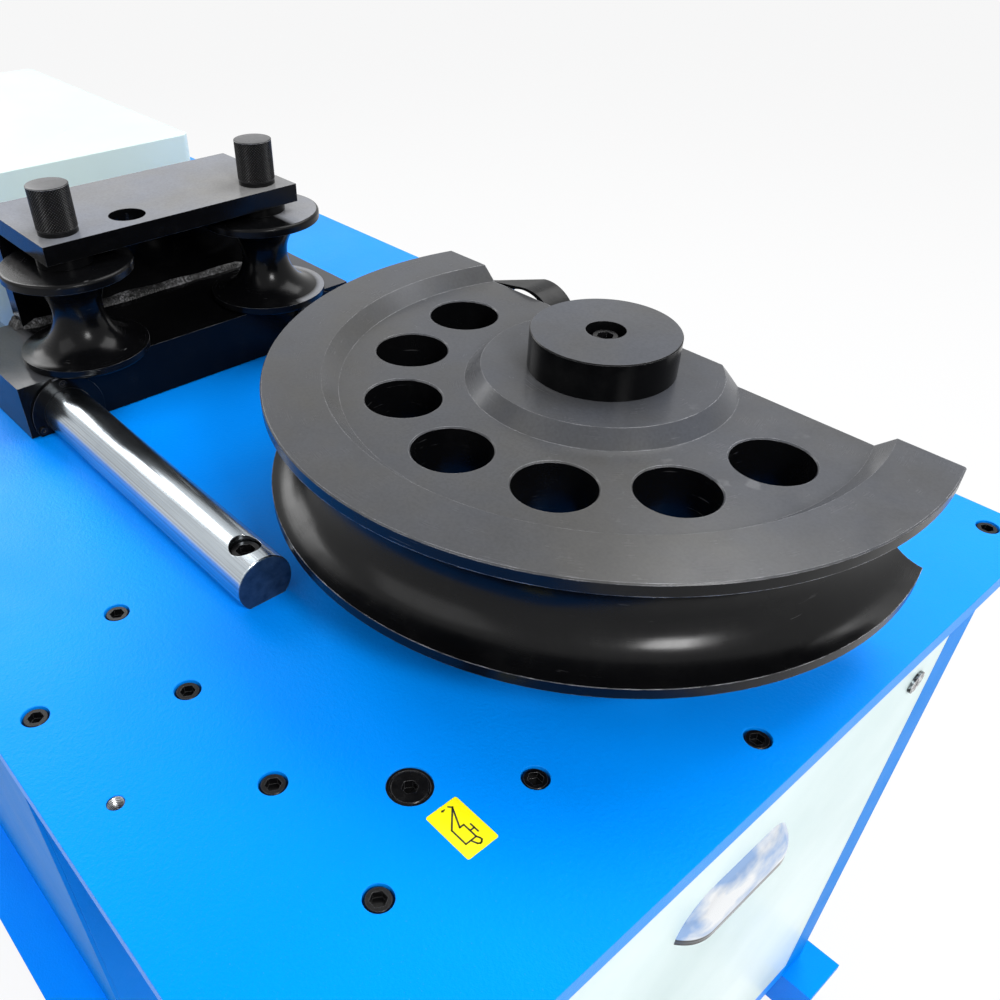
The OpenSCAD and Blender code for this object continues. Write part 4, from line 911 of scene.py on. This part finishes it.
PULL_DARK = (0.045, 0.04, 0.034)


def pull_chrome(name):
    """Mirror chrome, smudged by hands, with a painted reflection of a blue, cloudy sky in its colour, and
    darker along the lower lip.
    """
    p = Paint(name)
    # Darker in streaks along the lower lip
    lip = p.both(p.spread(p.axis("Z"), FALLING, tuple(PULL_LOW + PULL_LIP + fade for fade in PULL_LIP_FADE)),
                 p.spread(p.stretched(PULL_LIP_LINES), (0.7, 1.0), (0.35, 0.6)))
    # Painted reflection of the sky: blue, hazy and white patches in the chrome's colour
    cloud = p.ramp(p.stretched(PULL_SKY_REFLECTION), (0.38, PULL_REFLECTED_BLUE), (0.52, PULL_REFLECTED_HAZE), (0.62, PULL_REFLECTED_WHITE))
    p.bump(p.noise(PULL_WAVES), 0.03, PULL_WAVE_HEIGHT)
    return p.finish(p.mix(lip, cloud, PULL_DARK), p.patches(PULL_SMUDGES, (0.05, 0.16), (0.4, 0.8)),
                    Metallic=1.0)


def pull_section(y, inset):
    """Reach and height of the shell at y from its middle, drawn in by the inset."""
    end = PULL_HALF - math.sqrt(2 * PULL_END_R * PULL_OUT - PULL_OUT ** 2)
    past = max(0.0, abs(y) - end)
    reach = PULL_OUT - PULL_END_R + math.sqrt(max(0.0, PULL_END_R ** 2 - past ** 2)) - inset
    past = max(0.0, abs(y) - (PULL_HALF - PULL_CORNER))
    top = PULL_H - PULL_CORNER + math.sqrt(max(0.0, PULL_CORNER ** 2 - past ** 2)) - inset
    return max(reach, PULL_LEAST_OUT), max(top, PULL_LEAST_H)


def pull_column(y, inset):
    """Points down the shell at y: a curved face and an upright lip under it."""
    reach, top = pull_section(y, inset)
    sill = min(PULL_LIP, 0.5 * top)
    rise = top - sill
    bow = (reach ** 2 + rise ** 2) / (2 * reach)
    full = math.atan2(rise, bow - reach)
    curved = PULL_ROWS - PULL_LIP_ROWS
    points = []
    for row in range(PULL_ROWS + 1):
        if row <= curved:
            a = full * (1.0 - row / curved)
            x, z = reach - bow + bow * math.cos(a), sill + bow * math.sin(a)
        else:
            x, z = reach, sill * (PULL_ROWS - row) / PULL_LIP_ROWS
        points.append((DOOR_FACE + max(x, 0.0), PULL_Y + y, PULL_LOW + max(z, 0.0)))
    return points


def pull_handle():
    """Shell of chromed sheet, closed above and open below."""
    verts, faces = [], []
    for inset in (0.0, PULL_WALL):
        for col in range(PULL_COLS + 1):
            y = -PULL_HALF * math.cos(math.pi * col / PULL_COLS) * (1.0 - inset / PULL_HALF)
            verts += pull_column(y, inset)
    tall = PULL_ROWS + 1
    half = (PULL_COLS + 1) * tall
    for inner in (0, half):
        for col in range(PULL_COLS):
            for row in range(PULL_ROWS):
                a = inner + col * tall + row
                quad = (a, a + 1, a + tall + 1, a + tall)
                faces.append(quad[::-1] if inner else quad)
    for col in range(PULL_COLS):
        for row in (0, PULL_ROWS):
            a = col * tall + row
            quad = (a, a + tall, half + a + tall, half + a)
            faces.append(quad if row else quad[::-1])
    obj = mesh_piece("pull_shell", verts, faces, pull_chrome("pull chrome"), True)
    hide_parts("door_handle")
    settle(obj, "door")


pull_handle()

# Floor, world and lamps
FLOOR_HALF = 30.0
FLOOR_LOW = 0.5 * MM
FLOOR_COLOUR = (0.78, 0.78, 0.79)
FLOOR_ROUGH = 0.9
FLOOR_SEEN = 0.88
SKY_COLOUR = (0.95, 0.97, 1.0)
SKY_STRENGTH = 0.46
WHITE_LIGHT = (1.0, 1.0, 1.0)
WHITE_STRENGTH = 1.0

# Each lamp's name, place, target, width and length, and power
LAMPS = (
    ("key", (0.3, 1.6, 3.1), (0.2, 0.1, 0.7), (2.0, 1.6), 62.0),
    ("back", (-2.6, -0.1, 2.45), (0.1, 0.0, 0.7), (1.5, 1.3), 38.0),
    ("front_top", (2.65, -0.45, 2.4), (0.6, 0.0, 0.7), (0.7, 0.7), 56.0),
    ("left_side", (-0.3, -2.4, 2.8), (0.1, -0.2, 0.4), (2.2, 1.6), 19.0),
)


def seen_directly(nodes):
    """One for camera, glossy and transmission rays, nought for the light on the object."""
    path = nodes.add("ShaderNodeLightPath").outputs
    seen = nodes.calc("MAXIMUM", path["Is Camera Ray"], path["Is Glossy Ray"])
    return nodes.calc("MAXIMUM", seen, path["Is Transmission Ray"])


def blend_shaders(nodes, share, plain, white, output):
    """The plain shader where the share is nought and the white one where it is one."""
    mix = nodes.add("ShaderNodeMixShader", {0: share, 1: plain.outputs[0], 2: white.outputs[0]})
    nodes.feed(nodes.tree.nodes[output].inputs["Surface"], mix.outputs[0])


def make_floor():
    """Pale floor that keeps the object's shadow where the camera sees it."""
    h = FLOOR_HALF
    mat = bpy.data.materials.new("floor")
    mat.use_nodes = True
    nodes = Nodes(mat.node_tree)
    shader = nodes.tree.nodes["Principled BSDF"]
    nodes.feed(shader.inputs["Base Color"], FLOOR_COLOUR)
    nodes.feed(shader.inputs["Roughness"], FLOOR_ROUGH)
    white = nodes.add("ShaderNodeEmission", {"Color": WHITE_LIGHT, "Strength": WHITE_STRENGTH})
    share = nodes.calc("MULTIPLY", seen_directly(nodes), FLOOR_SEEN)
    blend_shaders(nodes, share, shader, white, "Material Output")
    corners = [(x, y, -FLOOR_LOW) for x, y in ((-h, -h), (h, -h), (h, h), (-h, h))]
    mesh_piece("floor", corners, [(0, 1, 2, 3)], mat)


def make_world():
    """Even pale sky as light, and white where it is seen."""
    world = bpy.data.worlds.new("studio")
    bpy.context.scene.world = world
    world.use_nodes = True
    nodes = Nodes(world.node_tree)
    sky = nodes.tree.nodes["Background"]
    nodes.feed(sky.inputs["Color"], SKY_COLOUR)
    nodes.feed(sky.inputs["Strength"], SKY_STRENGTH)
    white = nodes.add("ShaderNodeBackground", {"Color": WHITE_LIGHT, "Strength": WHITE_STRENGTH})
    blend_shaders(nodes, seen_directly(nodes), sky, white, "World Output")


def make_lamp(name, place, target, size, power):
    data = bpy.data.lights.new(name, "AREA")
    data.shape = "RECTANGLE"
    data.size, data.size_y = size
    data.energy = power
    obj = bpy.data.objects.new(name, data)
    obj.location = place
    obj.rotation_euler = (Vector(target) - Vector(place)).to_track_quat("-Z", "Y").to_euler()
    bpy.context.collection.objects.link(obj)


make_floor()
make_world()
for lamp in LAMPS:
    make_lamp(*lamp)
